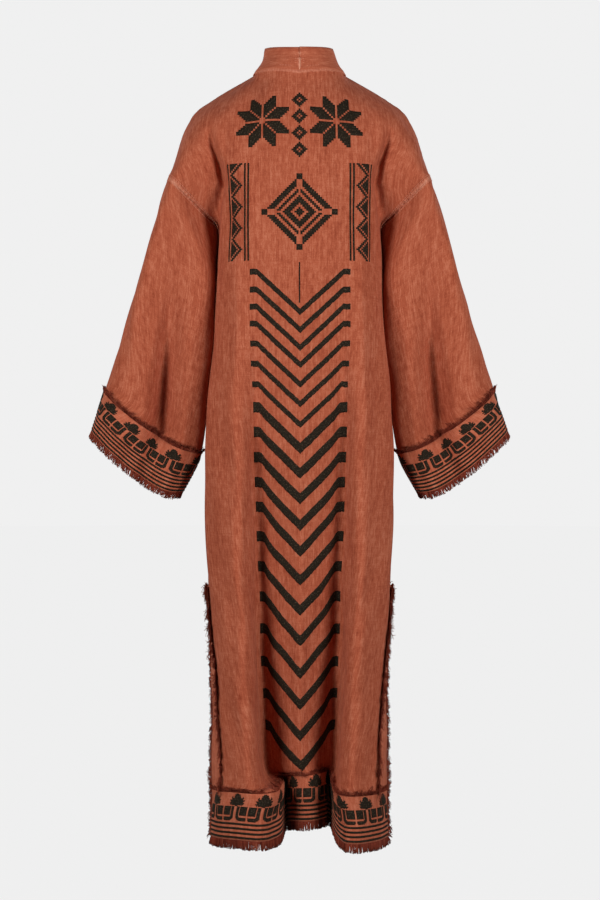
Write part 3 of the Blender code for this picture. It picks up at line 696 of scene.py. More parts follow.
# Slubs along the warp, finer weft, washed blotches and the thread pattern. Place is in metres of cloth
def linenWeave(group, given):
    slub, fine, weft, grain, mottle, blotch = (stretchedNoise(group, given["Place"], *look) for look in (
        (260, 16, 3.0, 0.62), (520, 60, 2.0, 0.6), (40, 420, 2.0, 0.6), (560, 430, 2.0, 0.6), (120, 70, 3.0, 0.65),
        (24, 12, 4.0, 0.6)))

    def centred(value, share):
        return past(group, value, 0.5, share, clamp=False)

    warpTone = total(group, centred(slub, 1.9), centred(fine, 1.9))
    crossTone = total(group, centred(weft, 0.8), centred(grain, 1.4), centred(mottle, 1.9))
    tone = times(group, total(group, warpTone, crossTone), given["Slub"])
    tone = total(group, tone, centred(blotch, 1.3))
    colour = mixColour(group, times(group, tone, 1.1, True), given["Base"], given["Pale"])
    colour = mixColour(group, times(group, tone, -1.1, True), colour, given["Dark"])
    split = addNode(group, "SeparateXYZ", {0: given["Place"]}).outputs
    rates = (times(group, given["Thread Rate"], turns) for turns in (6.2832, 5.6))
    warp, cross = (mathNode(group, "SINE", times(group, way, rate), 0.0) for way, rate in zip(split, rates))
    threads = times(group, times(group, warp, cross), 0.22)
    bumps = total(group, times(group, slub, 1.6), times(group, weft, 0.8))
    return {"Color": colour, "Height": total(group, threads, bumps)}


# A pale, slightly raised worn line close to a seam
def seamWear(group, given):
    near = addNode(group, "MapRange", {"Value": given["Gap"], "From Min": 0.0010, "From Max": 0.0052, "To Min": 1.0,
                                       "To Max": 0.0}, interpolation_type="SMOOTHSTEP").outputs[0]
    rubbed = past(group, stretchedNoise(group, given["Place"], 170, 170, 3.0, 0.7), 0.30, 2.6)
    return {"Mask": times(group, near, rubbed), "Height": near}


# Thread rows and light specks of dense needlework
def stitchRows(group, given):
    speck = past(group, stretchedNoise(group, given["Place"], 520, 400, 2.0, 0.7), 0.55, 5.5)
    through = past(group, stretchedNoise(group, given["Place"], 330, 520, 2.0, 0.6), 0.62, 5.0)
    colour = mixColour(group, through, mixColour(group, speck, given["Base"], given["Light"]), given["Cloth"])
    return {"Color": colour, "Height": stretchedNoise(group, given["Place"], 260, 1500, 1.0, 0.5)}


# Loose threads: darker among the others at random, and a painted highlight that makes some of them paler towards
# the tips
def frayTone(group, given):
    toDark = past(group, 0.55, given["Tone"], 1.8)
    # Painted highlight: some threads grow paler towards their tips
    tipHighlight = times(group, past(group, given["Tone"], 0.74, 3.6), total(group, given["Along"], 0.25), True)
    colour = mixColour(group, toDark, given["Base"], given["Dark"])
    return {"Color": mixColour(group, tipHighlight, colour, given["Pale"])}


# A group puts out what its function returns. The kind of an input goes by the length of its value
def newGroup(build, inputs):
    group = bpy.data.node_groups.new(build.__name__, "ShaderNodeTree")
    for label, value in inputs.items():
        kind = {1: "NodeSocketFloat", 3: "NodeSocketVector", 4: "NodeSocketColor"}[np.size(value)]
        group.interface.new_socket(name=label, in_out="INPUT", socket_type=kind).default_value = value
    found = build(group, group.nodes.new("NodeGroupInput").outputs)
    for label in found:
        kind = "NodeSocketColor" if label == "Color" else "NodeSocketFloat"
        group.interface.new_socket(name=label, in_out="OUTPUT", socket_type=kind)
    feed(group, group.nodes.new("NodeGroupOutput"), found)
    return group


groups = {build.__name__: newGroup(build, inputs) for build, inputs in (
    (linenWeave, {"Place": (0, 0, 0), "Base": rgba("linen"), "Pale": rgba("linenPale"), "Dark": rgba("linenDark"),
                  "Slub": 1.0, "Thread Rate": 900.0}),
    (seamWear, {"Place": (0, 0, 0), "Gap": 1.0}),
    (stitchRows, {"Place": (0, 0, 0), "Base": rgba("stitch"), "Light": rgba("stitchLight"),
                  "Cloth": rgba("stitchRust")}),
    (frayTone, {"Tone": 0.5, "Along": 0.5, "Base": rgba("fray"), "Dark": rgba("frayDark"),
                "Pale": rgba("frayPale")}),
)}


def useGroup(tree, name, inputs):
    return addNode(tree, "Group", inputs, node_tree=groups[name]).outputs


def attribute(tree, name):
    return addNode(tree, "Attribute", attribute_name=name).outputs["Fac"]


def linenLook(tree, base, slub):
    place = addNode(tree, "UVMap", uv_map="flat").outputs[0]
    weave = useGroup(tree, "linenWeave", {"Place": place, "Base": rgba(base), "Pale": rgba(base + "Pale"),
                                          "Dark": rgba(base + "Dark"), "Slub": slub})
    wear = useGroup(tree, "seamWear", {"Place": place, "Gap": attribute(tree, "seamGap")})
    return (mixColour(tree, wear["Mask"], weave["Color"], rgba("worn")),
            total(tree, weave["Height"], times(tree, wear["Height"], 1.5)))


def stitchLook(tree):
    rows = useGroup(tree, "stitchRows", {"Place": addNode(tree, "UVMap", uv_map="flat").outputs[0]})
    return rows["Color"], rows["Height"]


# The last colour is a painted highlight on the tips of loose threads; for the pale seam stitches it is their own
# worn colour
def frayLook(tree, base, dark, pale):
    along = attribute(tree, "along")
    fray = useGroup(tree, "frayTone", {"Tone": attribute(tree, "tone"), "Along": along, "Base": rgba(base),
                                       "Dark": rgba(dark), "Pale": rgba(pale)})
    return fray["Color"], along


def newMaterial(name, roughness, sheen, bump, look, *given):
    material = bpy.data.materials.new(name)
    material.use_nodes = True
    tree = material.node_tree
    colour, height = look(tree, *given)
    relief = addNode(tree, "Bump", {"Strength": bump[0], "Distance": bump[1], "Height": height})
    feed(tree, tree.nodes["Principled BSDF"], {
        "Base Color": colour, "Roughness": roughness, "Metallic": 0.0, "Specular IOR Level": 0.08,
        "Sheen Weight": sheen, "Sheen Roughness": 0.55, "Normal": relief.outputs[0]})
    return material


finish = {
    "linen": newMaterial("washedLinen", 0.92, 0.03, (0.35, 0.0006), linenLook, "linen", 1.0),
    "band": newMaterial("bandLinen", 0.92, 0.03, (0.35, 0.0006), linenLook, "band", 0.8),
    "stitch": newMaterial("darkStitching", 0.85, 0.0, (0.5, 0.0005), stitchLook),
    # Frayed threads carry a painted highlight towards their tips
    "fray": newMaterial("frayedThread", 0.9, 0.0, (0.2, 0.0002), frayLook, "fray", "frayDark", "frayPale"),
    "sewn": newMaterial("paleSewingThread", 0.9, 0.0, (0.2, 0.0002), frayLook, "worn", "linenPale", "worn"),
}
print("materials made")


# Panels and sleeves
backWide, frontWide = backGrid(), frontGrid()
sleeveWide, sleeveShares = sleeveGrid()
bandRow = cells["band"] * finer["up"]
slitRow = (cells["band"] + cells["slit"]) * finer["up"]
underarmRow = slitRow + cells["side"] * finer["up"]
cuffRow = (cells["sleeve"] - cells["band"]) * finer["sleeveDown"]
armholeHalf = cells["armhole"] * finer["round"] + 1
middle = cells["backHalf"] * finer["back"]
back = refined(backWide, finer["up"], finer["back"])
front = refined(frontWide, finer["up"], finer["front"])
sleeve = refined(sleeveWide, finer["sleeveDown"], finer["round"], closed=True)
addCrispCrease(back)
shares = np.interp(evenly(len(sleeve) - 1), evenly(len(sleeveShares) - 1), sleeveShares)[:, None]
places = evenly(armholeHalf - 1)[None]
sleeve[:, :armholeHalf, 1] += sleeveFlatness(shares, places) - sleeveFold(shares, places)

# Spline rounding aside, the side edges meet exactly down to the slit
heights = spline(range(len(frontWide)), frontWide[:, -1, 2], np.arange(len(front)) / finer["up"])[:, 0]
for i, height in enumerate(heights[: underarmRow + 1]):
    sideX = spline(column(backLevels, "height"), column(backLevels, "sideX"), height)[0][0]
    spread = slitY(height)
    back[i, -1, :2], back[i, 0, :2], front[i, -1, :2] = (sideX, spread), (-sideX, spread), (sideX, -spread)

# The sleeve starts exactly on the armhole's edge, and the correction fades out down the sleeve
ring = np.concatenate([back[underarmRow:, -1], front[underarmRow + 1:-1, -1][::-1]])
fade = (1 - ramp(np.arange(len(sleeve)), 0, 2 * finer["sleeveDown"]))[:, None, None]
sleeve = sleeve + (ring - sleeve[0])[None] * fade

neckHalf = cells["neck"] * finer["back"]
neckLine = back[-1, middle - neckHalf: middle + neckHalf + 1]
sideLine = back[slitRow: underarmRow + 1: 3, -1]
armhole = ring[::3]
armholes = np.concatenate([armhole, armhole * mirror])
cloths = {
    "Back": makeCloth(back, -1, middle, underarmRow),
    "FrontLeft": makeCloth(front, 1, 0, underarmRow),
    "SleeveLeft": makeCloth(sleeve, 1, 0, 0, closed=True),
}
cloths["SleeveLeft"]["v"] = -cloths["SleeveLeft"]["v"]
for name, line in (("Back", np.concatenate([armholes, neckLine])), ("FrontLeft", armhole), ("SleeveLeft", armhole)):
    cloths[name]["seamGap"] = distanceTo(cloths[name]["points"], line)
for part in ("Front", "Sleeve"):
    cloths[part + "Right"] = mirroredCloth(cloths[part + "Left"])

# What is sewn stays calm: no creases close to these lines
sewnBack = np.concatenate([armholes, sideLine, sideLine * mirror, neckLine, back[-1, ::4]])
sewnFront = np.concatenate([armhole, sideLine, front[-1, ::4], front[::3, 0]])
folds["frontRight"] = [(-across, *rest) for across, *rest in folds["frontRight"]]
dressCloth(cloths["Back"], folds["back"], 11, sewnBack)
dressCloth(cloths["FrontLeft"], folds["frontLeft"], 12, sewnFront)
dressCloth(cloths["FrontRight"], folds["frontRight"], 13, sewnFront * mirror)
dressCloth(cloths["SleeveLeft"], folds["sleeveLeft"], 14, armhole)
dressCloth(cloths["SleeveRight"], folds["sleeveRight"], 15, armhole * mirror)
print("cloth laid out")

# The neckband, folded double, sewn over the edges of the panels
lap = {"over": 0.002, "out": 0.0009}
strip = neckbandGrid(frontWide)
strip[0, :, 0] = 0
neckband = makeCloth(refined(strip, finer["up"], finer["neckband"]), 1, 0, 0)
points = neckband["points"]
centreBack = points[0, ::2]
points[:, 0] += unit(points[:, 0] - points[:, 1]) * lap["over"]
points[:, :2] += neckband["normals"][:, :2] * lap["out"]
neckband["seamGap"] = distanceTo(points, np.concatenate([neckLine, centreBack]))
cloths["NeckbandLeft"] = neckband
cloths["NeckbandRight"] = {**mirroredCloth(neckband), "s": neckband["s"]}
for side, seed in (("Left", 16), ("Right", 17)):
    cloth = cloths["Neckband" + side]
    dressCloth(cloth, [], seed, cloth["points"][:, 0][::4])

clothPiece("backCloth", cloths["Back"], cut["wall"], "linen", "back_panel")
for part, wall, look, node in (("front", "wall", "linen", "front_panel_"), ("sleeve", "wall", "linen", "sleeve_"),
                               ("neckband", "neckbandWall", "band", "neckband_")):
    for side in sides:
        clothPiece(part + "Cloth" + side, cloths[part.capitalize() + side], cut[wall], look, node + side.lower())
print("panels, sleeves and neckband made")


# Bands sewn on the hem, the cuffs and the slit edges
slitStrip = {"back": 9, "front": 8}
everywhere = slice(None)
hemRows, cuffRows, slitRows = slice(0, bandRow + 1), slice(cuffRow, None), slice(bandRow, slitRow + 1)
frontStrip = slice(-1 - slitStrip["front"], None)
bands = {name: bandOf(cloths[cloth], rows, columns) for name, cloth, rows, columns in (
    ("hemBandBack", "Back", hemRows, everywhere),
    ("hemBandFrontLeft", "FrontLeft", hemRows, everywhere),
    ("hemBandFrontRight", "FrontRight", hemRows, everywhere),
    ("cuffBandLeft", "SleeveLeft", cuffRows, everywhere),
    ("cuffBandRight", "SleeveRight", cuffRows, everywhere),
    ("slitBandBackLeft", "Back", slitRows, slice(-1 - slitStrip["back"], None)),
    ("slitBandBackRight", "Back", slitRows, slice(0, slitStrip["back"] + 1)),
    ("slitBandFrontLeft", "FrontLeft", slitRows, frontStrip),
    ("slitBandFrontRight", "FrontRight", slitRows, frontStrip),
)}
for name, band in bands.items():
    clothPiece(name, band, cut["wall"], "band", nodeName(name))
print("bands made")


# Embroidery
def gridQuads(corners):
    corners = [[tuple(corner) for corner in row] for row in corners]
    return [(corners[i][j], corners[i][j + 1], corners[i + 1][j + 1], corners[i + 1][j])
            for i in range(len(corners) - 1) for j in range(len(corners[0]) - 1)]


def stripe(start, end, low, high, step=0.004, rows=2):
    count = max(2, math.ceil((end - start) / step))
    return gridQuads([[(start + (end - start) * j / count, low + (high - low) * i / rows) for j in range(count + 1)]
                      for i in range(rows + 1)])


chevrons = {
    "top": [-333, -363, -392, -421, -454, -488, -523, -558, -600, -643, -686, -728, -779, -831, -883, -939, -996,
            -1053, -1110],
    "drop": [68, 68, 69, 69, 69, 68, 68, 69, 69, 69, 71, 73, 71, 70, 70, 70, 67, 64, 59],
    "halfWidth": [85.5, 85.5, 85.5, 85.5, 85.5, 85.5, 85, 85, 85, 86, 86, 86, 87, 87, 87, 87, 87, 87, 87],
    "aside": -1.2,
    "slim": {"count": 7, "thick": 11, "tabWide": 12, "tabTall": 10},
    "broad": {"thick": 18.5, "tabWide": 13, "tabTall": 18},
    "ragged": 0.0005,
    "cell": 0.0024, "tabEnd": 0.006, "rows": 5,
}

# The back's rows that rise steadily, in which a height is looked up
steadyRows = underarmRow + 1 + 9 * finer["up"]


def heightToUp(height, across):
    cloth = cloths["Back"]
    j = int(np.argmin(np.abs(cloth["s"][underarmRow] - across)))
    return float(np.interp(height, cloth["points"][:steadyRows, j, 2], cloth["v"][:steadyRows, j]))


def chevronQuads(number):
    draw = random.Random(300 + number)
    half, height, drop = (chevrons[key][number] * mm for key in ("halfWidth", "top", "drop"))
    form = chevrons["slim" if number < chevrons["slim"]["count"] else "broad"]
    tabWide, tabTall, thick = (form[key] * mm for key in ("tabWide", "tabTall", "thick"))
    count, rows = 2 * math.ceil(half / chevrons["cell"]), chevrons["rows"]
    corners = []
    for j in range(count + 1):
        across = half * (2 * j / count - 1)
        inward = max(0.0, half - tabWide - abs(across))
        ragged = [draw.uniform(-1, 1) * chevrons["ragged"] for _ in (0, 1)]
        place = across + chevrons["aside"] * mm
        top = heightToUp(height - drop * inward / (half - tabWide), place) + ragged[0]
        tall = thick + (tabTall - thick) * (1 - min(1.0, inward / chevrons["tabEnd"])) + ragged[1]
        corners.append([(round(place, 6), round(top - tall * i / rows, 6)) for i in range(rows + 1)])
    return gridQuads(np.array(corners).transpose(1, 0, 2)[::-1].tolist())


backPlaces = flatMap(cloths["Back"])
for number in range(len(chevrons["top"])):
    stitchedPatch(f"chevron{number + 1:02d}", backPlaces, chevronQuads(number))
centreLine = {"top": -0.323, "bottom": -0.391, "halfWidth": 0.00105, "step": 0.003}
lineEnds = [heightToUp(centreLine[end], 0) for end in ("bottom", "top")]
lineQuads = stripe(*lineEnds, -centreLine["halfWidth"], centreLine["halfWidth"], centreLine["step"], 1)
stitchedPatch("centreLine", backPlaces, [tuple((u, v) for v, u in quad)[::-1] for quad in lineQuads])

# Generic counted motifs on the upper back, in cells of 3 to 3.7 mm
yoke = {
    "cell": 0.003, "starCell": 0.0037, "starAcross": 0.064, "starHeight": -0.083, "medallionCell": 0.0033,
    "medallionHeight": -0.238, "lozengeHeights": (-0.046, -0.075, -0.104, -0.133), "bandAcross": 0.099,
    "bandTop": -0.153, "bandBottom": -0.318,
}


def cellsWhere(reach, test):
    places = range(-reach, reach + 1)
    return {(x, y) for x in places for y in places if test(abs(x), abs(y))}


def inStar(x, y):
    wide, slim = max(x, y), min(x, y)
    return 1 <= slim <= 6 and slim < wide <= min(13, slim + 7) and not (slim == 6 and wide > 12)


def inMedallion(x, y):
    out, slim = x + y, min(x, y)
    inRing = out <= 2 or 5 <= out <= 8 or (11 <= out <= 12 and slim > 0) or (15 <= out <= 18 and slim > 1)
    return inRing or max(abs(x - 18), y) <= 1 or max(x, abs(y - 18)) <= 1


def inLozenge(x, y):
    return x + y == 0 or 2 <= x + y <= 4


def zigzagCells(count, side):
    return {(side * x, y) for y in range(count)
            for turn in [abs(y % 12 - 6)] for x in (-4, -2, turn, turn + 1, 9, *range(turn + 3, 8))}


def motif(name, cellSet, across, height, cell):
    up = heightToUp(height, across)
    stitchedPatch(name, backPlaces, cellQuads(cellSet, cell, cell, across - cell / 2, up - cell / 2))


cell = yoke["cell"]
bandCells = round((yoke["bandTop"] - yoke["bandBottom"]) / cell)
for side, sign in sides.items():
    motif("star" + side, cellsWhere(13, inStar), sign * yoke["starAcross"], yoke["starHeight"], yoke["starCell"])
    motif("zigzag" + side, zigzagCells(bandCells, sign), sign * yoke["bandAcross"], yoke["bandBottom"], cell)
motif("medallion", cellsWhere(20, inMedallion), 0, yoke["medallionHeight"], yoke["medallionCell"])
for number, height in enumerate(yoke["lozengeHeights"]):
    motif(f"lozenge{number + 1}", cellsWhere(4, inLozenge), 0, height, cell)
print("back embroidered")

# Border repeat of the bands: half of it, rows from the bottom up
chart = """
..##########......
.#############....
.##############...
.###############..
...........#####..
............####..
""".split() + 10 * [".##########.####.."] + """
................##
.........#.#######
........##########
.......###########
.........#########
........##########
.......###########
..........########
.........#########
.........##..#####
..........#..#####
..............####
..............####
................##
""".split()
border = {
    "repeat": 36, "inset": 0.002,
    "hem": {"stripes": (0.0025, 0.0101, 0.0177, 0.0253), "wide": 0.0038, "start": 0.0322,
            "cell": (0.00137, 0.00155)},
    "cuff": {"stripes": (0.0018, 0.0082, 0.0146, 0.021, 0.0274), "wide": 0.0034, "start": 0.0325,
             "cell": (0.00146, 0.00133)},
}


def borderCells(first, last):
    found = set()
    for i in range(first, last):
        place = i % border["repeat"]
        c = min(place, border["repeat"] - 1 - place)
        found |= {(i, j) for j, row in enumerate(chart) if row[c] == "#"}
    return found


def embroiderBand(name, form, start, end, pairAt, wide):
    places = flatMap(bands[name])
    quads = []
    for low in form["stripes"]:
        quads += stripe(start, end, low, low + form["wide"])
    stitchedPatch(name + "Stripes", places, quads)
    cellSet = borderCells(math.ceil((start - pairAt) / wide), math.floor((end - pairAt) / wide))
    stitchedPatch(name + "Border", places, cellQuads(cellSet, wide, form["cell"][1], pairAt, form["start"]))


for name, pairAt in (("hemBandBack", 0.009), ("hemBandFrontLeft", 0.020), ("hemBandFrontRight", -0.020)):
    s, form = bands[name]["s"][0], border["hem"]
    embroiderBand(name, form, s.min() + border["inset"], s.max() - border["inset"], pairAt, form["cell"][0])
for name in ("cuffBandLeft", "cuffBandRight"):
    around, form = bands[name]["s"][-1, -1], border["cuff"]
    repeats = round(around / (border["repeat"] * form["cell"][0]))
    embroiderBand(name, form, 0, around, 0, around / (border["repeat"] * repeats))
print("bands embroidered")


# Loose threads, drawn together in small clumps
thread = {
    "rings": 4, "turns": (0, 2.0944, 4.1888), "sunk": 0.003, "layerGap": 0.0005, "clumps": (0.55, 1.45),
    "waves": (2.5, 5.5), "waving": (0.3, 1.0), "flaring": (0.4, 1.2), "lifting": (-0.6, 1.0), "thick": (0.8, 1.2),
    "jitter": 0.4, "sizeMix": (0.7, 0.3), "leanMix": (0.7, 0.4), "toneMix": (0.65, 0.35),
}
fringeSettings = ("length", "uneven", "spacing", "layers", "radius", "lean", "curl", "flare", "lift", "droop",
                  "clump", "gather", "taper")
fringes = {name: dict(zip(fringeSettings, values)) for name, *values in (
    ("hem", 0.0150, 0.13, 0.00072, 2, 0.00060, 0.12, 0.08, 0.04, 0.04, 0.0, 0.0042, 0.32, 0.25),
    ("top", 0.0120, 0.60, 0.00075, 2, 0.00058, 0.75, 0.75, 0.26, 0.20, 0.36, 0.0056, 0.55, 0.35),
    ("cuff", 0.0118, 0.18, 0.00075, 2, 0.00058, 0.20, 0.18, 0.06, 0.08, 0.0, 0.0044, 0.52, 0.25),
    ("slit", 0.0060, 0.75, 0.00085, 2, 0.00060, 0.75, 0.60, 0.35, 0.30, 0.30, 0.0062, 0.75, 0.35),
    ("inner", 0.0080, 0.85, 0.00080, 2, 0.00058, 1.0, 0.80, 0.60, 0.50, 0.30, 0.0066, 0.60, 0.35),
    ("tuft", 0.0100, 0.35, 0.00055, 3, 0.00055, 0.80, 0.70, 0.25, 0.30, 0.45, 0.0060, 0.80, 0.30),
)}


def looseThreads(name, run, kind, seed, replaces=True):
    draw, form, rings = random.Random(seed), fringes[kind], thread["rings"]
    length = runLength(run[0])
    n = max(2, int(length[-1] / form["spacing"]))
    parts = []
    for layer in range(form["layers"]):
        jitter = np.array([draw.uniform(-thread["jitter"], thread["jitter"]) for _ in range(n)])
        at = (np.arange(n) + 0.5 + jitter) / n * length[-1]
        root, down, out = (valuesAt(at, length, values) for values in run)
        down, out = unit(down), unit(out)
        side = unit(np.cross(down, out))
        bounds = [-form["clump"]]
        while bounds[-1] < at[-1] + form["clump"]:
            bounds.append(bounds[-1] + form["clump"] * draw.uniform(*thread["clumps"]))
        bounds = np.array(bounds)
        k = np.searchsorted(bounds, at) - 1
        centre = ((bounds[:-1] + bounds[1:]) / 2)[k]

        def each(low, high):
            return np.array([draw.uniform(low, high) for _ in range(n)])[:, None, None]

        def shared(low, high):
            return np.array([draw.uniform(low, high) for _ in bounds])[k][:, None, None]

        def mixed(mix, low, high):
            return mix[0] * shared(low, high) + mix[1] * each(low, high)

        t = np.linspace(0, 1, rings)[None, :, None]
        size = form["length"] * (1 + mixed(thread["sizeMix"], -1, 1) * form["uneven"])
        lean = mixed(thread["leanMix"], -1, 1) * form["lean"]
        wave = np.sin(t * each(*thread["waves"]) + shared(0, 6.28)) * form["curl"] * each(*thread["waving"])
        lift = form["flare"] * t * shared(*thread["flaring"]) + form["lift"] * t**2 * each(*thread["lifting"])
        towards = np.sign(np.sum(side * np.gradient(root, axis=0), axis=1))
        gather = ((centre - at) * towards * form["gather"])[:, None, None] * t
        root = root + out * (layer - 0.5) * thread["layerGap"]
        path = (root[:, None] + down[:, None] * size * (t - thread["sunk"])
                + side[:, None] * (size * (lean * t + wave * t) + gather)
                + out[:, None] * size * lift - np.array([0, 0, 1]) * size * form["droop"] * t**2)
        thick = form["radius"] * (1 - form["taper"] * t) * each(*thread["thick"])
        ringPoints = [path + thick * (math.cos(a) * side[:, None] + math.sin(a) * out[:, None])
                      for a in thread["turns"]]
        tone = np.repeat(mixed(thread["toneMix"], 0, 1)[:, 0], 3 * rings, axis=1)
        parts.append((np.stack(ringPoints, axis=2).reshape(-1, 3), tone.ravel()))
    points, tones = (np.concatenate(found) for found in zip(*parts))
    start = np.arange(0, len(points), 3 * rings)[:, None]
    last = 3 * (rings - 1)
    quads = [start + [k + a, k + b, k + 3 + b, k + 3 + a]
             for k in range(0, last, 3) for a, b in ((0, 1), (1, 2), (2, 0))]
    ends = [*(start + [last, last + 1, last + 2]).tolist(), *(start + [2, 1, 0]).tolist()]
    meshPiece(name, points.tolist(), np.concatenate(quads).tolist() + ends, "fray",
              nodeName(name) if replaces else None, tone=tones,
              along=np.tile(np.repeat(np.linspace(0, 1, rings), 3), len(start)))


# Where threads hang from, the way they leave and the way out of the cloth
def threadRun(cloth, edge, start, end, lift=1.0):
    points, normals = cloth["points"], cloth["normals"]
    run = (points[edge] + normals[edge] * cut["bandLift"] * lift, points[end] - points[start], normals[edge])
    return [np.concatenate([values, values[:1]]) for values in run] if cloth["closed"] else run


# At its corners the hem's fringe turns outward
corner = {"fall": 0.007, "turn": 0.8}
for name, seed in (("Back", 31), ("FrontLeft", 33), ("FrontRight", 35)):
    cloth = cloths[name]
    edge, down, normals = threadRun(cloth, 0, 4, 0, 0.4)
    s = cloth["s"][0]
    turned = np.exp((s - s.max()) / corner["fall"]) - np.exp((s.min() - s) / corner["fall"])
    turned = turned * np.sign(s[-1] - s[0])
    down = unit(down) + unit(np.gradient(edge, axis=0)) * turned[:, None] * corner["turn"]
    looseThreads("hemFringe" + name, (edge, down, normals), "hem", seed)
    looseThreads("hemTopFringe" + name, threadRun(cloth, bandRow, bandRow, bandRow + 4), "top", seed + 1)
for side, seed in (("Left", 41), ("Right", 43)):
    cloth = cloths["Sleeve" + side]
    looseThreads("cuffFringe" + side, threadRun(cloth, -1, -5, -1, 0.5), "cuff", seed)
    looseThreads("cuffTopFringe" + side, threadRun(cloth, cuffRow, cuffRow, cuffRow - 4), "top", seed + 1)

# Both long edges of each slit strip, down to the hem on the open side
openRows = slice(0, slitRow + 1)
for name, key, edge, step, seed in (
        ("BackLeft", "Back", -1, -1, 51), ("BackRight", "Back", 0, 1, 53), ("FrontLeft", "FrontLeft", -1, -1, 55),
        ("FrontRight", "FrontRight", -1, -1, 57)):
    cloth, inside = cloths[key], edge + step
    inner = edge + step * slitStrip["back" if key == "Back" else "front"]
    openRun = threadRun(cloth, (openRows, edge), (openRows, inside), (openRows, edge))
    innerRun = threadRun(cloth, (slitRows, inner), (slitRows, edge), (slitRows, inside))
    looseThreads("slitFringe" + name, openRun, "slit", seed)
    looseThreads("slitInnerFringe" + name, innerRun, "inner", seed + 1, replaces=False)
    looseThreads("slitTuft" + name, [values[-4:] for values in openRun], "tuft", seed + 7, replaces=False)
print("fringes made")

# Rows of pale stitches beside the seams, and the raised seam at the centre back
sewing = {
    "stitch": 0.0034, "gap": 0.0015, "wide": 0.0008, "lift": 0.0006, "raised": 0.0004, "beside": (0.0042, 0.0068),
    "collarRows": (0.0150, 0.0190, 0.0235, 0.0305), "rowHalf": 0.0145, "arc": (0.0085, 0.0105, 0.0400),
    "seamBar": (0.0035, 0.0265), "barWide": 0.0048, "barLift": 0.0012, "barPoints": 7, "rounding": (0.15, 0.85),
    "tones": (0.42, 0.75),
}


def ridges(name, runs, wide, lift, seed):
    draw = random.Random(seed)
    points, faces, tones = [], [], []
    for place, normals in runs:
        count, start = 3 * len(place), len(points)
        out = unit(normals)
        aside = unit(np.cross(unit(np.gradient(place, axis=0)), out)) * wide / 2
        tall = lift * np.sin(np.linspace(*sewing["rounding"], len(place)) * math.pi)[:, None]
        rings = np.stack([place - aside - out * lift, place + out * tall, place + aside - out * lift], axis=1)
        points += rings.reshape(-1, 3).tolist()
        tones += [draw.uniform(*sewing["tones"])] * count
        end = start + count
        for k in range(start, end - 3, 3):
            faces += [(k, k + 1, k + 4, k + 3), (k + 1, k + 2, k + 5, k + 4), (k + 2, k, k + 3, k + 5)]
        faces += [(start + 2, start + 1, start), (end - 3, end - 2, end - 1)]
    meshPiece(name, points, faces, "sewn", tone=tones, along=[0.5] * len(points))


def stitchRuns(path, normals):
    length = runLength(path)
    starts = np.arange(0, length[-1] - sewing["stitch"], sewing["stitch"] + sewing["gap"])
    return [tuple(valuesAt(start + np.array([0, 0.5, 1]) * sewing["stitch"], length, values)
                  for values in (path, normals)) for start in starts]


def besideSeam(seam, inward, normals, away):
    return stitchRuns(seam + unit(inward - seam) * away + normals * sewing["raised"], normals)


def neckbandPath(cloth, s, start, end):
    rows = [i for i in range(len(cloth["points"])) if start <= cloth["v"][i, 0] <= end]
    return tuple(np.array([[np.interp(s, cloth["s"][i], cloth[key][i, :, c]) for c in range(3)] for i in rows])
                 for key in ("points", "normals"))


upper = slice(underarmRow, None)
for side, edge, inside in (("Left", -1, -2), ("Right", 0, 1)):
    points, normals = cloths["Back"]["points"], cloths["Back"]["normals"]
    runs = [run for away in sewing["beside"]
            for run in besideSeam(points[upper, edge], points[upper, inside], normals[upper, edge], away)]
    points, normals = (cloths["Sleeve" + side][key][:, :armholeHalf] for key in ("points", "normals"))
    runs += besideSeam(points[0], points[1], normals[1], sewing["beside"][0])
    ridges("armholeStitches" + side, runs, sewing["wide"], sewing["lift"], 61)
for side in sides:
    cloth = cloths["Neckband" + side]
    runs = [run for s in sewing["collarRows"] for run in stitchRuns(*neckbandPath(cloth, s, 0, sewing["rowHalf"]))]
    runs += stitchRuns(*neckbandPath(cloth, *sewing["arc"]))
    ridges("collarStitches" + side, runs, sewing["wide"], sewing["lift"], 63)
bar = np.array([[0, *(np.interp(s, neckband["s"][0], neckband["points"][0, :, c]) for c in (1, 2))]
                for s in np.linspace(*sewing["seamBar"], sewing["barPoints"])])
ridges("centreBackSeam", [(bar, np.tile([0.0, 1.0, 0.1], (len(bar), 1)))], sewing["barWide"], sewing["barLift"], 65)
print("seams stitched")
# Floor, light and camera
studio = {
    "floorHeight": -2.4, "floorRadius": 40.0, "floorColour": 0.02, "floorGlow": 0.862, "backdrop": 0.871,
    "ambient": 0.03, "lampSize": 1.2, "aim": (0, 0, -0.36), "farEnd": 200,
    "key": {"turn": 43, "raise": 4, "power": 67, "away": 3.0},
    "fill": {"turn": 145, "raise": 30, "power": 12, "away": 2.2},
}

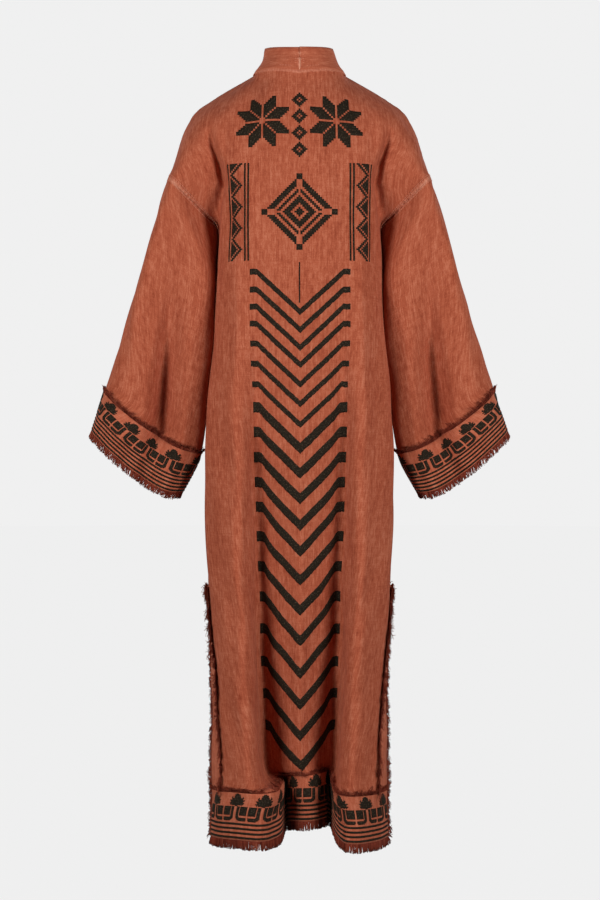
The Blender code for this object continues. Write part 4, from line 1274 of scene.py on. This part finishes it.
disc = bpy.data.meshes.new("floor")
turns = [a * math.pi / 48 for a in range(96)]
disc.from_pydata([(studio["floorRadius"] * math.cos(turn), studio["floorRadius"] * math.sin(turn),
                   studio["floorHeight"]) for turn in turns], [], [tuple(range(96))])
floor = newObject("floor", disc)
floorPaint = bpy.data.materials.new("paleFloor")
floorPaint.use_nodes = True
feed(floorPaint.node_tree, floorPaint.node_tree.nodes["Principled BSDF"], {
    "Base Color": (studio["floorColour"],) * 3 + (1,), "Roughness": 1.0, "Specular IOR Level": 0.0,
    "Emission Color": (1, 1, 1, 1), "Emission Strength": studio["floorGlow"]})
disc.materials.append(floorPaint)
floor.visible_diffuse = False

world = bpy.data.worlds.new("studio")
bpy.context.scene.world = world
world.use_nodes = True
tree = world.node_tree
tree.nodes.clear()
seen = addNode(tree, "LightPath").outputs["Is Camera Ray"]
strength = total(tree, times(tree, seen, studio["backdrop"] - studio["ambient"]), studio["ambient"])
background = addNode(tree, "Background", {"Color": (1, 1, 1, 1), "Strength": strength})
addNode(tree, "OutputWorld", {0: background.outputs[0]})

for side, sign in sides.items():
    for kind in ("key", "fill"):
        form = studio[kind]
        light = bpy.data.lights.new(kind + side, "AREA")
        light.energy, light.shape, light.size = form["power"], "DISK", studio["lampSize"]
        lamp = newObject(kind + side, light)
        a, b = math.radians(sign * form["turn"]), math.radians(form["raise"])
        towards = Vector((math.sin(a) * math.cos(b), math.cos(a) * math.cos(b), math.sin(b)))
        lamp.location = Vector(studio["aim"]) + towards * form["away"]
        lamp.rotation_euler = towards.to_track_quat("Z", "Y").to_euler()
        lamp.visible_camera = False

view = {"place": (-0.0009, 3.2, -0.639), "halfTall": 0.7835}
camera = bpy.data.cameras.new("camera")
camera.sensor_width = 36
camera.lens = camera.sensor_width / 2 * view["place"][1] / view["halfTall"]
camera.clip_end = studio["farEnd"]
eye = newObject("camera", camera)
eye.location = view["place"]
eye.rotation_euler = (math.radians(90), 0, math.radians(180))
bpy.context.scene.camera = eye
bpy.context.scene.view_settings.view_transform = "Standard"

print("scene complete")
